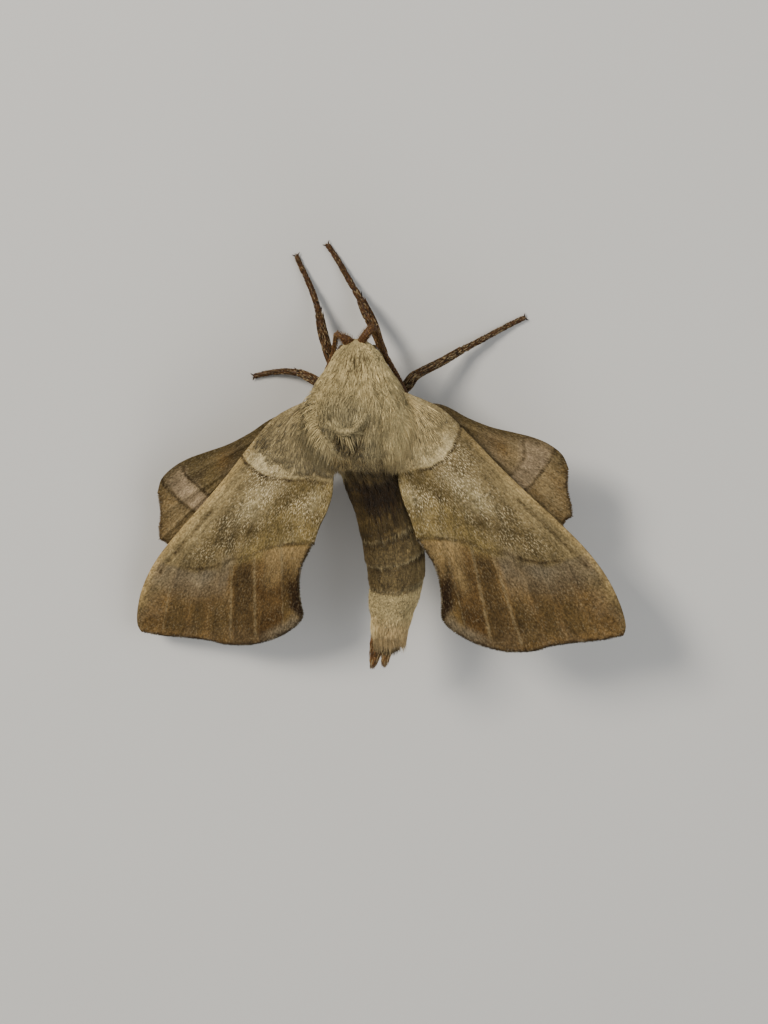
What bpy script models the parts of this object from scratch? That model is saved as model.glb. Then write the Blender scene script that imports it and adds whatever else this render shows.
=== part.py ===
"""A walnut sphinx moth at rest, life size, head towards -Y, standing on six feet on the plane z = 0.

All sizes and places are in millimetres, measured from the middle of the thorax's plan, and z from the
ground. Each mesh is turned into metres as it is made, and hangs on one empty at the body's place.
"""

import math
import random

import bmesh
import bpy
from mathutils import Euler, Matrix, Vector
from mathutils.geometry import delaunay_2d_cdt

# Whole animal
MM = 0.001
NAME = "walnut_sphinx"
BODY_AT = (1.5, -5.2)
GAP = 0.3
SIDES = {"left": 1, "right": -1}
WELD = 0.002
FUSED_WELD = 0.00005

# Trunk: stations from front to rear, (y, middle x, half width, underside z, top z), and widest height
TRUNK_WIDEST = 8.0
THORAX_STATIONS = (
    (-4.3, 0.1, 2.35, 4.5, 9.9),
    (-3.5, 0.1, 3.15, 3.9, 10.9),
    (-2.4, 0.1, 3.9, 3.5, 11.8),
    (-0.9, 0.0, 4.2, 3.3, 12.3),
    (0.5, 0.0, 4.05, 3.4, 12.4),
    (1.5, -0.1, 3.65, 3.6, 11.9),
    (2.8, -0.3, 3.1, 4.0, 11.5),
    (3.8, -0.45, 2.75, 4.4, 11.0),
    (4.5, -0.55, 2.5, 4.8, 10.3),
)
THORAX_RINGS = 12
THORAX_SIDES = 20

# Head: stations as the thorax's, tucked low in front of it
HEAD_WIDEST = 6.7
HEAD_STATIONS = (
    (-4.6, 0.1, 2.25, 4.7, 9.4),
    (-5.1, 0.1, 2.1, 4.75, 9.0),
    (-5.6, 0.1, 1.75, 5.0, 8.5),
    (-6.1, 0.1, 1.2, 5.45, 7.9),
    (-6.45, 0.1, 0.6, 6.0, 7.3),
)
HEAD_RINGS = 9
HEAD_SIDES = 24
EYE_AT = (1.4, -5.53, 6.35)
EYE_RADII = (0.95, 0.95, 1.15)
PALP_ROOT = (0.62, -4.85, 3.95)
PALP_TIP = (0.45, -6.0, 4.7)
PALP_RADIUS = 0.4
PALP_TAPER = ((0.0, 0.7), (0.3, 1.0), (0.65, 0.95), (0.9, 0.6), (1.0, 0.3))

# Antennae: arched forwards out of the brow, then folded back along the thorax
ANTENNA_ROOT_RADIUS = 0.46
ANTENNA_TIP_RADIUS = 0.26
ANTENNA_JOINT = 0.36
ANTENNA_WAIST = 0.84
ANTENNA_TAPER_END = 0.6
ANTENNA_PATHS = {
    "left": ((0.75, -6.75, 7.5), (1.35, -7.15, 7.35), (1.9, -7.35, 6.8), (2.1, -7.15, 6.1),
             (2.2, -6.6, 5.2), (2.3, -5.6, 4.7), (2.45, -4.5, 4.5), (2.95, -3.2, 4.45),
             (3.6, -1.8, 4.5), (4.15, -0.2, 4.6), (4.5, 1.4, 4.7)),
    "right": ((-0.55, -6.75, 7.5), (-0.9, -7.35, 7.4), (-1.35, -7.65, 6.9), (-1.8, -7.3, 6.1),
              (-2.1, -6.3, 5.4), (-2.4, -5.1, 5.1), (-2.95, -3.7, 5.0), (-3.75, -2.3, 5.1),
              (-4.35, -0.8, 5.1), (-4.7, 0.8, 5.0)),
}

# Abdomen: axis points (y, x, z, half width, half height) and the rear edge of each segment along y
ABDOMEN_STATIONS = (
    (4.8, -0.95, 6.9, 2.45, 2.1),
    (7.0, -1.8, 6.8, 2.6, 2.15),
    (9.6, -2.5, 6.9, 2.55, 2.2),
    (12.4, -3.1, 7.1, 2.7, 2.3),
    (15.6, -3.3, 7.4, 2.45, 2.15),
    (17.8, -3.0, 7.65, 2.05, 1.95),
    (18.9, -2.9, 7.75, 1.85, 1.75),
)
WAIST_LENGTH = 3.0
SEGMENT_ENDS = (7.6, 11.6, 14.2, 17.0, 18.9)
SEGMENT_STEP = 0.16
SEGMENT_SWELL = ((0.03, -1.0), (0.35, -0.1), (0.75, 0.35), (1.0, 0.5))
ABDOMEN_SIDES = 22

# Coat: flat tapered locks that lie rearwards, each on a line from its sunk root to its lifted tip
LOCK_TAPER = ((0.0, 0.75), (0.5, 1.0), (1.0, 0.3))
LOCK_WIDTH = 1.15
LOCK_WIDTH_RANGE = (0.85, 1.15)
LOCK_THICKNESS = 0.5
LOCK_TIP_BODY = 0.3
LOCK_SINK = 0.35
LOCK_ARCH = 0.7
LOCK_LIFT = 0.35
LOCK_JITTER = 0.22
LOCK_STRAY = 2.0
# Rows on the thorax, (y, first and last angle round the trunk, locks, length, turn outwards on the way)
THORAX_ROWS = (
    (-3.5, 22, 158, 9, 2.3, 5),
    (-2.2, 14, 166, 10, 2.4, 4),
    (-0.9, 30, 150, 8, 2.3, 2),
    (1.0, 26, 154, 8, 2.3, 1),
    (2.4, 40, 140, 7, 2.4, 0),
    (-2.0, 196, 220, 2, 2.0, 0),
    (-2.0, 320, 344, 2, 2.0, 0),
    (0.6, 196, 220, 2, 2.0, 0),
    (0.6, 320, 344, 2, 2.0, 0),
    (-1.6, 270, 270, 1, 1.8, 0),
    (0.4, 262, 278, 2, 1.8, 0),
    (2.2, 256, 284, 2, 1.8, 0),
)
HEAD_ROWS = (
    (-6.25, 50, 130, 4, 1.0, 0),
    (-5.75, 20, 160, 6, 1.0, 0),
)
# Locks over the wing bases: y of the root, and how far out and back from there the tip lies
SHOULDER_ANGLE = 40
SHOULDER_WIDTH = 1.4
SHOULDER_LEAN = 0.3
SHOULDER_LOCKS = ((-2.2, 1.5, 2.2), (-1.2, 1.9, 2.5), (-0.2, 1.7, 2.8), (0.8, 1.3, 3.0), (1.8, 0.9, 2.9),
                  (2.6, 0.6, 2.7))

# Tail tuft: a short core, a fringe of locks all round it, and two prongs of longer ones
TUFT_CORE = ((19.2, -2.88, 7.78, 1.75), (20.6, -2.65, 7.9, 1.5), (21.9, -2.3, 8.1, 0.85))
TUFT_SIDES = 16
FRINGE_LOCKS = 17
FRINGE_ROOT_Y = 19.7
FRINGE_END = (22.2, -2.45, 8.05, 1.35)
FRINGE_WIDTH = 1.0
PRONG_TIPS = ((-1.05, 24.6, 8.1), (-2.5, 24.4, 8.2))
PRONG_LOCKS = 5
PRONG_WIDTH = 0.7
PRONG_SPREAD = 0.3
PRONG_SINK = 0.6
PRONG_PART = 0.35

# Wings: local s runs from the root to the wing's tip and t from the leading edge to the rear
WING_THICKNESS = 0.5
VEIN_HEIGHT = 0.14
VEIN_HALF_WIDTH = 0.26
FOREWING_LENGTH = 31.0
HINDWING_DROP = 1.15
WING_POSE = {
    "left": {"root": (4.5, -2.1, 8.7), "turn": (12.8, 5.8, 54.8), "bend": 0.0076, "twist": 0.0059,
             "arch": 0.005, "fore_reach": 0.995, "hind_reach": 1.06, "inner_fullness": 1.2},
    "right": {"root": (4.0, -2.8, 8.7), "turn": (4.8, 2.1, 49.1), "bend": -0.0013, "twist": -0.0009,
              "arch": 0.002, "fore_reach": 1.006, "hind_reach": 0.98, "inner_fullness": 0.1},
}
FOREWING_COSTA = ((3.3, -1.15), (7.0, -1.5), (10.5, -1.6), (14.2, -1.85), (18.5, -2.25), (22.2, -2.45),
                  (25.5, -2.2), (28.4, -1.45), (30.4, -0.5))
FOREWING_APEX = (FOREWING_LENGTH, 0.4)
FOREWING_OUTER = ((30.0, 2.1), (28.45, 4.2), (27.25, 6.0), (26.65, 7.3), (25.3, 8.95), (24.0, 10.0),
                  (22.3, 10.95), (20.35, 11.6), (18.9, 11.75))
FOREWING_TOOTH = (18.0, 11.45)
FOREWING_HOLLOW = ((17.0, 10.55), (15.6, 9.55), (14.1, 8.85), (12.7, 8.55))
FOREWING_TORNUS = (11.1, 8.35)
FOREWING_INNER = ((9.5, 7.55), (7.8, 6.9), (6.2, 6.1), (5.1, 5.3))
FOREWING_ROOT_Y = {"left": (-2.0, 4.0), "right": (-2.7, 3.7)}

HINDWING_COSTA = ((3.6, -1.3), (6.2, -2.3), (8.3, -3.3), (10.2, -4.55), (11.7, -5.5), (13.2, -6.15))
HINDWING_APEX = ((14.8, -6.4), (16.3, -5.95))
HINDWING_OUTER = ((17.7, -4.8), (19.1, -4.1))
HINDWING_TOOTH = (20.0, -3.45)
HINDWING_SCALLOPS = ((19.95, -2.6), (20.5, -1.6), (20.2, -0.4), (20.3, 0.9), (19.4, 1.9), (18.9, 3.2),
                     (17.6, 3.9), (16.2, 5.2), (14.6, 5.5))
HINDWING_ANAL = ((13.0, 5.7), (9.8, 4.7), (6.0, 3.7), (3.9, 3.3))
HINDWING_ROOT_Y = {"left": (-0.9, 1.7), "right": (-1.2, 1.4)}

FOREWING_VEINS = (
    ((1.0, -0.1), (7.0, -0.7), (14.5, -1.15), (20.0, -1.6), (23.5, -2.0)),
    ((1.6, 0.8), (6.0, 0.3), (12.0, 0.0), (17.0, -0.6), (22.0, -0.3), (29.6, 2.2)),
    ((9.0, 0.1), (16.0, -0.95), (21.0, -1.1), (27.2, -1.4)),
    ((12.0, 0.0), (16.0, 0.7), (20.1, 1.6), (28.1, 4.2)),
    ((11.9, 0.8), (18.0, 2.5), (22.5, 4.2), (26.9, 6.1)),
    ((12.0, 0.0), (11.9, 0.8), (11.6, 2.2), (11.2, 3.2)),
    ((11.6, 2.2), (17.0, 3.7), (21.5, 5.8), (25.7, 8.0)),
    ((1.9, 2.1), (6.0, 2.9), (8.5, 3.3), (11.2, 3.2), (14.5, 5.0), (19.0, 7.3), (23.5, 9.7)),
    ((10.2, 3.25), (13.0, 5.6), (17.0, 8.5), (20.6, 11.0)),
    ((8.5, 3.3), (11.5, 6.0), (14.6, 8.0), (17.8, 10.8)),
    ((2.6, 3.6), (6.0, 4.9), (11.0, 7.9)),
)
HINDWING_VEINS = (
    ((1.8, 0.1), (5.0, -1.0), (9.5, -3.0), (14.9, -5.8)),
    ((2.2, 0.8), (5.5, -0.4), (9.0, -1.4), (13.0, -2.9), (17.5, -4.5)),
    ((9.0, -1.4), (14.0, -2.3), (19.6, -3.3)),
    ((9.0, -1.4), (9.3, -0.5), (9.0, 0.4)),
    ((9.3, -0.5), (14.5, -0.8), (20.0, -1.5)),
    ((2.6, 1.7), (6.5, 1.2), (9.0, 0.4), (14.5, 0.7), (19.9, 0.8)),
    ((8.0, 0.7), (13.0, 1.8), (18.6, 3.1)),
    ((6.5, 1.2), (11.0, 2.9), (15.9, 5.0)),
    ((3.0, 2.5), (7.0, 2.9), (12.7, 5.4)),
)
ROOT_STEPS = 6
OUTLINE_STEP = 1.1
VEIN_STEP = 1.9
LATTICE_STEP = 1.9
LATTICE_CLEAR = 0.85
LATTICE_ROW = 1.65
MESH_EPSILON = 0.03
WING_TOP_PASSES = 3

# Legs: points from the root to the end of the shin and from there to the toe, as (x, y, z, radius)
FOOT_Z = 0.18
LEGS = {
    "foreleg_left": (((1.9, -2.7, 3.3, 0.45), (2.6, -4.0, 2.95, 0.48), (3.0, -5.1, 2.55, 0.5),
                      (3.35, -6.3, 2.0, 0.5), (3.6, -7.5, 1.4, 0.42)),
                     ((3.6, -7.5, 1.4, 0.31), (4.1, -9.2, 0.8, 0.3), (4.7, -10.6, 0.42, 0.28),
                      (5.45, -12.2, FOOT_Z, 0.26), (5.75, -13.1, FOOT_Z, 0.25))),
    "foreleg_right": (((-1.6, -2.6, 3.3, 0.45), (-2.2, -3.9, 3.0, 0.42), (-1.75, -5.5, 2.75, 0.42),
                       (-1.2, -6.9, 2.2, 0.52), (-0.65, -7.9, 1.75, 0.56), (-0.2, -8.8, 1.25, 0.46)),
                      ((-0.2, -8.8, 1.25, 0.33), (0.75, -10.3, 0.7, 0.31), (1.45, -11.5, 0.38, 0.29),
                       (2.3, -12.9, FOOT_Z, 0.27), (3.1, -14.05, FOOT_Z, 0.25))),
    "midleg_left": (((2.4, -0.9, 3.6, 0.5), (3.3, -1.45, 3.1, 0.54), (4.35, -1.95, 2.4, 0.48),
                     (5.4, -2.2, 1.45, 0.38)),
                    ((5.4, -2.2, 1.45, 0.33), (6.6, -2.2, 0.8, 0.31), (7.7, -2.05, 0.4, 0.29),
                     (8.9, -1.8, FOOT_Z, 0.27), (10.2, -1.45, FOOT_Z, 0.25))),
    "midleg_right": (((-2.5, -0.4, 3.6, 0.5), (-3.5, -1.0, 3.5, 0.54), (-4.35, -1.75, 3.75, 0.54),
                      (-4.8, -2.45, 3.75, 0.5), (-5.9, -2.9, 2.95, 0.42), (-7.4, -3.4, 1.95, 0.42),
                      (-9.1, -4.2, 1.15, 0.38)),
                     ((-9.1, -4.2, 1.15, 0.33), (-10.8, -5.0, 0.75, 0.31), (-12.4, -5.8, 0.4, 0.29),
                      (-13.9, -6.55, FOOT_Z, 0.27), (-15.35, -7.25, FOOT_Z, 0.25))),
    "hindleg_left": (((2.0, 2.0, 3.75, 0.5), (3.2, 3.2, 3.6, 0.56), (4.5, 4.4, 3.7, 0.54),
                      (5.3, 5.4, 3.4, 0.48), (5.7, 7.0, 2.5, 0.44), (6.1, 8.8, 1.45, 0.38)),
                     ((6.1, 8.8, 1.45, 0.33), (6.55, 10.4, 0.85, 0.31), (7.05, 11.9, 0.42, 0.29),
                      (7.7, 13.5, FOOT_Z, 0.27), (8.3, 15.0, FOOT_Z, 0.25))),
    "hindleg_right": (((-2.3, 1.9, 3.75, 0.5), (-3.5, 3.0, 3.6, 0.56), (-4.9, 4.1, 3.8, 0.54),
                       (-5.9, 5.0, 3.5, 0.48), (-6.6, 6.5, 2.6, 0.44), (-7.3, 8.2, 1.45, 0.38)),
                      ((-7.3, 8.2, 1.45, 0.33), (-7.95, 9.8, 0.85, 0.31), (-8.6, 11.3, 0.42, 0.29),
                       (-9.35, 12.9, FOOT_Z, 0.27), (-10.0, 14.4, FOOT_Z, 0.25))),
}
SHIN_STEP = 1.1
TOE_JOINTS = 5
TOE_RINGS = ((0.05, 0.84), (0.25, 1.0), (0.92, 1.1))
TOE_END = 0.8
SPUR_LENGTH = 1.0
SPUR_RADIUS = 0.15
SPUR_SPREAD = 0.55
SPUR_DROP = 0.25
SPUR_SIDES = 6
SPUR_POINT = 0.2

SHARP_ANGLE = 40
SEED = 7
ROUGHNESS = {"eye": 0.15, "leg": 0.6, "antenna": 0.6}
SOFT_ROUGHNESS = 0.85
COLOURS = {
    "fur": (0.42, 0.33, 0.20),
    "abdomen": (0.34, 0.25, 0.14),
    "forewing": (0.36, 0.26, 0.14),
    "hindwing": (0.38, 0.25, 0.16),
    "leg": (0.20, 0.10, 0.05),
    "antenna": (0.28, 0.12, 0.05),
    "tuft": (0.36, 0.19, 0.09),
    "eye": (0.02, 0.012, 0.01),
}


# Scene and materials
def clear_scene():
    for old in list(bpy.data.objects):
        bpy.data.objects.remove(old)


def new_collection(name):
    made = bpy.data.collections.new(name)
    bpy.context.scene.collection.children.link(made)
    return made


def skin_material(name, slot):
    made = bpy.data.materials.new(name)
    made.use_nodes = True
    shader = made.node_tree.nodes["Principled BSDF"]
    shader.inputs["Base Color"].default_value = (*COLOURS[slot], 1.0)
    shader.inputs["Roughness"].default_value = ROUGHNESS.get(slot, SOFT_ROUGHNESS)
    shader.inputs["Metallic"].default_value = 0.0
    return made


# Meshes
def mesh_object(name, points, faces, collection):
    """A closed mesh from points in millimetres, with its faces turned outwards."""
    mesh = bpy.data.meshes.new(name)
    mesh.from_pydata([Vector(p) * MM for p in points], [], faces)
    made = bpy.data.objects.new(name, mesh)
    collection.objects.link(made)
    tidy_mesh(made)
    return made


def tidy_mesh(piece, weld=WELD):
    work = bmesh.new()
    work.from_mesh(piece.data)
    bmesh.ops.remove_doubles(work, verts=work.verts, dist=weld * MM)
    bmesh.ops.dissolve_degenerate(work, edges=work.edges, dist=weld * MM)
    bmesh.ops.triangulate(work, faces=work.faces)
    bmesh.ops.recalc_face_normals(work, faces=work.faces)
    work.to_mesh(piece.data)
    work.free()


def baked(piece):
    """Puts the evaluated mesh in place of the piece's own, with no modifier left."""
    bpy.context.view_layer.update()
    result = bpy.data.meshes.new_from_object(piece.evaluated_get(bpy.context.evaluated_depsgraph_get()))
    piece.modifiers.clear()
    piece.data = result


def keep_largest(piece):
    """Drops every closed surface but the one with the most faces."""
    work = bmesh.new()
    work.from_mesh(piece.data)
    left = set(work.faces)
    islands = []
    while left:
        front = [left.pop()]
        island = set(front)
        while front:
            face = front.pop()
            for edge in face.edges:
                for other in edge.link_faces:
                    if other in left:
                        left.remove(other)
                        island.add(other)
                        front.append(other)
        islands.append(island)
    islands.sort(key=len)
    scraps = [face for island in islands[:-1] for face in island]
    bmesh.ops.delete(work, geom=scraps, context="FACES")
    work.to_mesh(piece.data)
    work.free()


def fuse(piece, extras):
    """One union of a body with all the pieces that grow from it."""
    group = new_collection(piece.name + "_extras")
    for extra in extras:
        for home in list(extra.users_collection):
            home.objects.unlink(extra)
        group.objects.link(extra)
    union = piece.modifiers.new("union", "BOOLEAN")
    union.operation = "UNION"
    union.operand_type = "COLLECTION"
    union.collection = group
    union.solver = "EXACT"
    baked(piece)
    for extra in list(group.objects):
        bpy.data.objects.remove(extra)
    bpy.data.collections.remove(group)
    keep_largest(piece)
    tidy_mesh(piece, FUSED_WELD)


def carve(piece, cutter):
    cut = piece.modifiers.new("cut", "BOOLEAN")
    cut.operation = "DIFFERENCE"
    cut.object = cutter
    cut.solver = "EXACT"
    baked(piece)
    keep_largest(piece)
    tidy_mesh(piece, FUSED_WELD)


def loft(rings):
    """Faces of a tube through rings of equal size, closed by a fan at each end. Returns points and faces."""
    count = len(rings[0])
    points = [p for ring in rings for p in ring]
    faces = []
    for r in range(len(rings) - 1):
        for k in range(count):
            a = r * count + k
            b = r * count + (k + 1) % count
            faces.append((a, b, b + count, a + count))
    for start in (0, (len(rings) - 1) * count):
        middle = sum((Vector(p) for p in points[start:start + count]), Vector()) / count
        points.append(middle)
        hub = len(points) - 1
        faces += [(start + k, start + (k + 1) % count, hub) for k in range(count)]
    return points, faces


# Curves through stations
def eased(stations, at):
    """Every value of the stations at that first value, on a smooth curve through them."""
    last = len(stations) - 1
    i = 0
    while i < last - 1 and abs(at - stations[0][0]) > abs(stations[i + 1][0] - stations[0][0]):
        i += 1
    before, a, b, after = (stations[max(0, min(last, k))] for k in (i - 1, i, i + 1, i + 2))
    t = (at - a[0]) / (b[0] - a[0])
    return [hermite(before[n], a[n], b[n], after[n], t) for n in range(1, len(a))]


def hermite(p, a, b, q, t):
    """Catmull-Rom value between a and b."""
    slope = (b - p) * t
    curve = (2 * p - 5 * a + 4 * b - q) * t * t
    return 0.5 * (2 * a + slope + curve + (3 * a - p - 3 * b + q) * t ** 3)


def resampled(points, step, smooth=True):
    """Points about a step apart along a line, eased through its own points."""
    line = [Vector(p) for p in points]
    last = len(line) - 1
    out = []
    for i in range(last):
        before, a, b, after = (line[max(0, min(last, k))] for k in (i - 1, i, i + 1, i + 2))
        pieces = max(1, round((b - a).length / step))
        for k in range(pieces):
            t = k / pieces
            if smooth:
                out.append(Vector([hermite(before[n], a[n], b[n], after[n], t) for n in range(len(a))]))
            else:
                out.append(a.lerp(b, t))
    out.append(line[-1])
    return out


# Trunk
def oval_ring(y, middle_x, half_width, low, high, widest, sides):
    ring = []
    for k in range(sides):
        angle = 2 * math.pi * k / sides
        rise = math.sin(angle)
        reach = (high - widest) if rise > 0 else (widest - low)
        ring.append(Vector((middle_x + half_width * math.cos(angle), y, widest + reach * rise)))
    return ring


def trunk_piece(name, stations, rings, sides, widest, collection):
    first, last = stations[0][0], stations[-1][0]
    made = []
    for r in range(rings):
        y = first + (last - first) * r / (rings - 1)
        middle_x, half_width, low, high = eased(stations, y)
        made.append(oval_ring(y, middle_x, half_width, low, high, widest, sides))
    return mesh_object(name, *loft(made), collection)


def thorax_side(y, side):
    """The x of the thorax's flank at that y, where the wings grow."""
    middle_x, half_width = eased(THORAX_STATIONS, y)[:2]
    return middle_x + side * half_width


def ellipsoid(name, centre, radii, collection, segments=16, rings=12):
    work = bmesh.new()
    bmesh.ops.create_uvsphere(work, u_segments=segments, v_segments=rings, radius=1.0)
    placing = Matrix.Translation(Vector(centre) * MM) @ Matrix.Diagonal((*(r * MM for r in radii), 1.0))
    bmesh.ops.transform(work, matrix=placing, verts=work.verts)
    mesh = bpy.data.meshes.new(name)
    work.to_mesh(mesh)
    work.free()
    made = bpy.data.objects.new(name, mesh)
    collection.objects.link(made)
    return made


def make_head(collection, cutters):
    head = trunk_piece("head", HEAD_STATIONS, HEAD_RINGS, HEAD_SIDES, HEAD_WIDEST, collection)
    fuse(head, lock_rows(HEAD_ROWS, HEAD_STATIONS, HEAD_WIDEST, collection))
    pieces = [head]
    sockets = []
    for label, side in SIDES.items():
        at = (side * EYE_AT[0] + HEAD_STATIONS[0][1], EYE_AT[1], EYE_AT[2])
        socket = ellipsoid("socket_" + label, at, [r + GAP for r in EYE_RADII], cutters)
        socket.hide_render = True
        socket.display_type = "WIRE"
        sockets.append(socket)
        pieces.append(ellipsoid("eye_" + label, at, EYE_RADII, collection))
        pieces.append(make_palp(label, side, collection))
    for socket in sockets:
        carve(head, socket)
    return pieces


def make_palp(label, side, collection):
    root = Vector((side * PALP_ROOT[0], *PALP_ROOT[1:]))
    tip = Vector((side * PALP_TIP[0], *PALP_TIP[1:]))
    path = [(root.lerp(tip, share), PALP_RADIUS * size) for share, size in PALP_TAPER]
    return tube("palp_" + label, path, collection)


def make_abdomen(collection):
    rings = []
    front = ABDOMEN_STATIONS[0][0]
    for end in SEGMENT_ENDS:
        for share, swell in SEGMENT_SWELL:
            y = front + (end - front) * share
            rings.append(abdomen_ring(y, swell * SEGMENT_STEP))
        front = end
    return mesh_object("abdomen", *loft(rings), collection)


def abdomen_ring(y, swell):
    """A ring that much wider than the plain form, upright at the waist and square to the axis behind it."""
    x, z, half_width, half_height = eased(ABDOMEN_STATIONS, y)
    step = 0.1
    ahead = eased(ABDOMEN_STATIONS, y + step)
    lean = min(1.0, (y - ABDOMEN_STATIONS[0][0]) / WAIST_LENGTH)
    along = Vector(((ahead[0] - x) * lean, step, (ahead[1] - z) * lean)).normalized()
    across = along.cross(Vector((0, 0, 1))).normalized()
    up = across.cross(along)
    ring = []
    for k in range(ABDOMEN_SIDES):
        angle = 2 * math.pi * k / ABDOMEN_SIDES
        aside = across * ((half_width + swell) * math.cos(angle))
        ring.append(Vector((x, y, z)) + aside + up * ((half_height + swell) * math.sin(angle)))
    return ring


# Tubes: legs, antennae and palps
def tube(name, path, collection, resolution=2):
    """A round limb as a bevelled curve through points with their own radii, made a closed mesh."""
    data = bpy.data.curves.new(name, "CURVE")
    data.dimensions = "3D"
    data.twist_mode = "Z_UP"
    data.bevel_depth = MM
    data.bevel_resolution = resolution
    data.use_fill_caps = True
    spline = data.splines.new("POLY")
    spline.points.add(len(path) - 1)
    for point, (at, radius) in zip(spline.points, path):
        point.co = (*(Vector(at) * MM), 1.0)
        point.radius = radius
    curve = bpy.data.objects.new(name + "_curve", data)
    collection.objects.link(curve)
    bpy.context.view_layer.update()
    mesh = bpy.data.meshes.new_from_object(curve.evaluated_get(bpy.context.evaluated_depsgraph_get()))
    made = bpy.data.objects.new(name, mesh)
    made.matrix_world = curve.matrix_world
    collection.objects.link(made)
    bpy.data.objects.remove(curve)
    tidy_mesh(made)
    return made


def make_antenna(label, collection):
    """A tapering feeler, pinched between its many short joints."""
    line = resampled(ANTENNA_PATHS[label], ANTENNA_JOINT)
    last = len(line) - 1
    path = []
    for k, point in enumerate(line):
        taper = min(1.0, k / last / ANTENNA_TAPER_END)
        radius = ANTENNA_ROOT_RADIUS + (ANTENNA_TIP_RADIUS - ANTENNA_ROOT_RADIUS) * taper
        path.append((point, radius * (ANTENNA_WAIST if k % 2 else 1.0)))
    return tube("antenna_" + label, path, collection)


def make_leg(name, collection):
    """A leg with a pair of spurs at the end of its shin, five toe joints, and flats where the toes lie."""
    shin, toes = LEGS[name]
    rings = [(p[:3], p[3]) for p in resampled(shin, SHIN_STEP)]
    span = len(toes) - 1
    for joint in range(TOE_JOINTS):
        for share, swell in TOE_RINGS:
            at = eased([(k, *toe) for k, toe in enumerate(toes)], span * (joint + share) / TOE_JOINTS)
            rings.append((at[:3], at[3] * swell))
    rings.append((toes[-1][:3], toes[-1][3] * TOE_END))
    leg = tube(name, rings, collection)
    heel = Vector(toes[0][:3])
    ahead = (Vector(toes[1][:3]) - heel).normalized()
    across = ahead.cross(Vector((0, 0, 1))).normalized()
    spurs = []
    for hand in (1, -1):
        aim = (ahead + across * SPUR_SPREAD * hand - Vector((0, 0, SPUR_DROP))).normalized()
        spurs.append(cone(name + "_spur", heel, aim, SPUR_LENGTH, SPUR_RADIUS, collection))
    fuse(leg, spurs)
    for vertex in leg.data.vertices:
        vertex.co.z = max(vertex.co.z, 0.0)
    return leg


def cone(name, root, aim, length, radius, collection):
    work = bmesh.new()
    bmesh.ops.create_cone(work, cap_ends=True, segments=SPUR_SIDES, radius1=radius * MM,
                          radius2=radius * SPUR_POINT * MM, depth=length * MM)
    turn = Vector((0, 0, 1)).rotation_difference(aim).to_matrix().to_4x4()
    placing = Matrix.Translation((root + aim * length / 2) * MM) @ turn
    bmesh.ops.transform(work, matrix=placing, verts=work.verts)
    mesh = bpy.data.meshes.new(name)
    work.to_mesh(mesh)
    work.free()
    made = bpy.data.objects.new(name, mesh)
    collection.objects.link(made)
    return made


# Wings
def wing_matrix(side_name):
    """Places a left wing's local s, t and height; a right wing's are mirrored after it."""
    pose = WING_POSE[side_name]
    turn = Euler([math.radians(a) for a in pose["turn"]], "XYZ").to_matrix().to_4x4()
    return Matrix.Translation(Vector(pose["root"])) @ turn


def wing_height(side_name, s, t):
    """Height of the wing's middle surface above its root plane: bent along, twisted and arched across."""
    pose = WING_POSE[side_name]
    return -0.5 * pose["bend"] * s * s - pose["twist"] * s * t - 0.5 * pose["arch"] * t * t


def root_edge(side_name, ends, drop):
    """Where a wing grows, in local s and t: along the thorax's flank, a gap outside it, rear to front."""
    side = SIDES[side_name]
    back = wing_matrix(side_name).inverted()
    edge = []
    for k in range(ROOT_STEPS + 1):
        y = ends[1] + (ends[0] - ends[1]) * k / ROOT_STEPS
        flank = abs(thorax_side(y, side)) + GAP
        local = back @ Vector((flank, y, WING_POSE[side_name]["root"][2] - drop))
        edge.append((local.x, local.y))
    return edge


def vein_rise(point, veins):
    """Height of the vein ridges at a point of the wing: full on a vein, nothing beside it."""
    nearest = VEIN_HALF_WIDTH
    for line in veins:
        for a, b in zip(line, line[1:]):
            run = b - a
            share = max(0.0, min(1.0, (point - a).dot(run) / run.length_squared))
            nearest = min(nearest, (point - a - run * share).length)
    return VEIN_HEIGHT * (1 - nearest / VEIN_HALF_WIDTH)


def make_wing(name, side_name, outline, vein_lines, drop, reach, collection):
    """A wing as one plate of even thickness, with its veins raised as ridges in the upper face.

    Both faces share one triangulation, which follows the outline, each vein and the foot of its ridge.
    """
    veins = [[Vector((s * reach, t)) for s, t in line] for line in vein_lines]
    veins = [resampled(line, VEIN_STEP) for line in veins]
    edge = [Vector(p) for p in outline]
    points = list(edge)
    links = [(k, (k + 1) % len(edge)) for k in range(len(edge))]
    for line in veins:
        for hand in (0, 1, -1):
            start = len(points)
            for k, here in enumerate(line):
                run = line[min(k + 1, len(line) - 1)] - line[max(k - 1, 0)]
                beside = Vector((-run.y, run.x)).normalized() * VEIN_HALF_WIDTH * hand
                points.append(here + beside)
            links += [(k, k + 1) for k in range(start, len(points) - 1)]
    points += lattice(edge, veins)
    flat, _, faces, _, _, _ = delaunay_2d_cdt(points, links, [list(range(len(edge)))], 1, MESH_EPSILON)
    side = SIDES[side_name]
    placing = wing_matrix(side_name)
    half = WING_THICKNESS / 2
    top = []
    bottom = []
    for p in flat:
        middle = wing_height(side_name, p.x, p.y) - drop
        for sheet, height in ((top, middle + half + vein_rise(p, veins)), (bottom, middle - half)):
            at = placing @ Vector((p.x, p.y, height))
            sheet.append(Vector((at.x * side, at.y, at.z)))
    count = len(flat)
    solid = [tuple(f) for f in faces] + [tuple(reversed([k + count for k in f])) for f in faces]
    sides = [side_pair for f in faces for side_pair in zip(f, [*f[1:], f[0]])]
    known = set(sides)
    for a, b in sides:
        if (b, a) not in known:
            solid.append((b, a, a + count))
            solid.append((b, a + count, b + count))
    return mesh_object(name, top + bottom, solid, collection)


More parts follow.
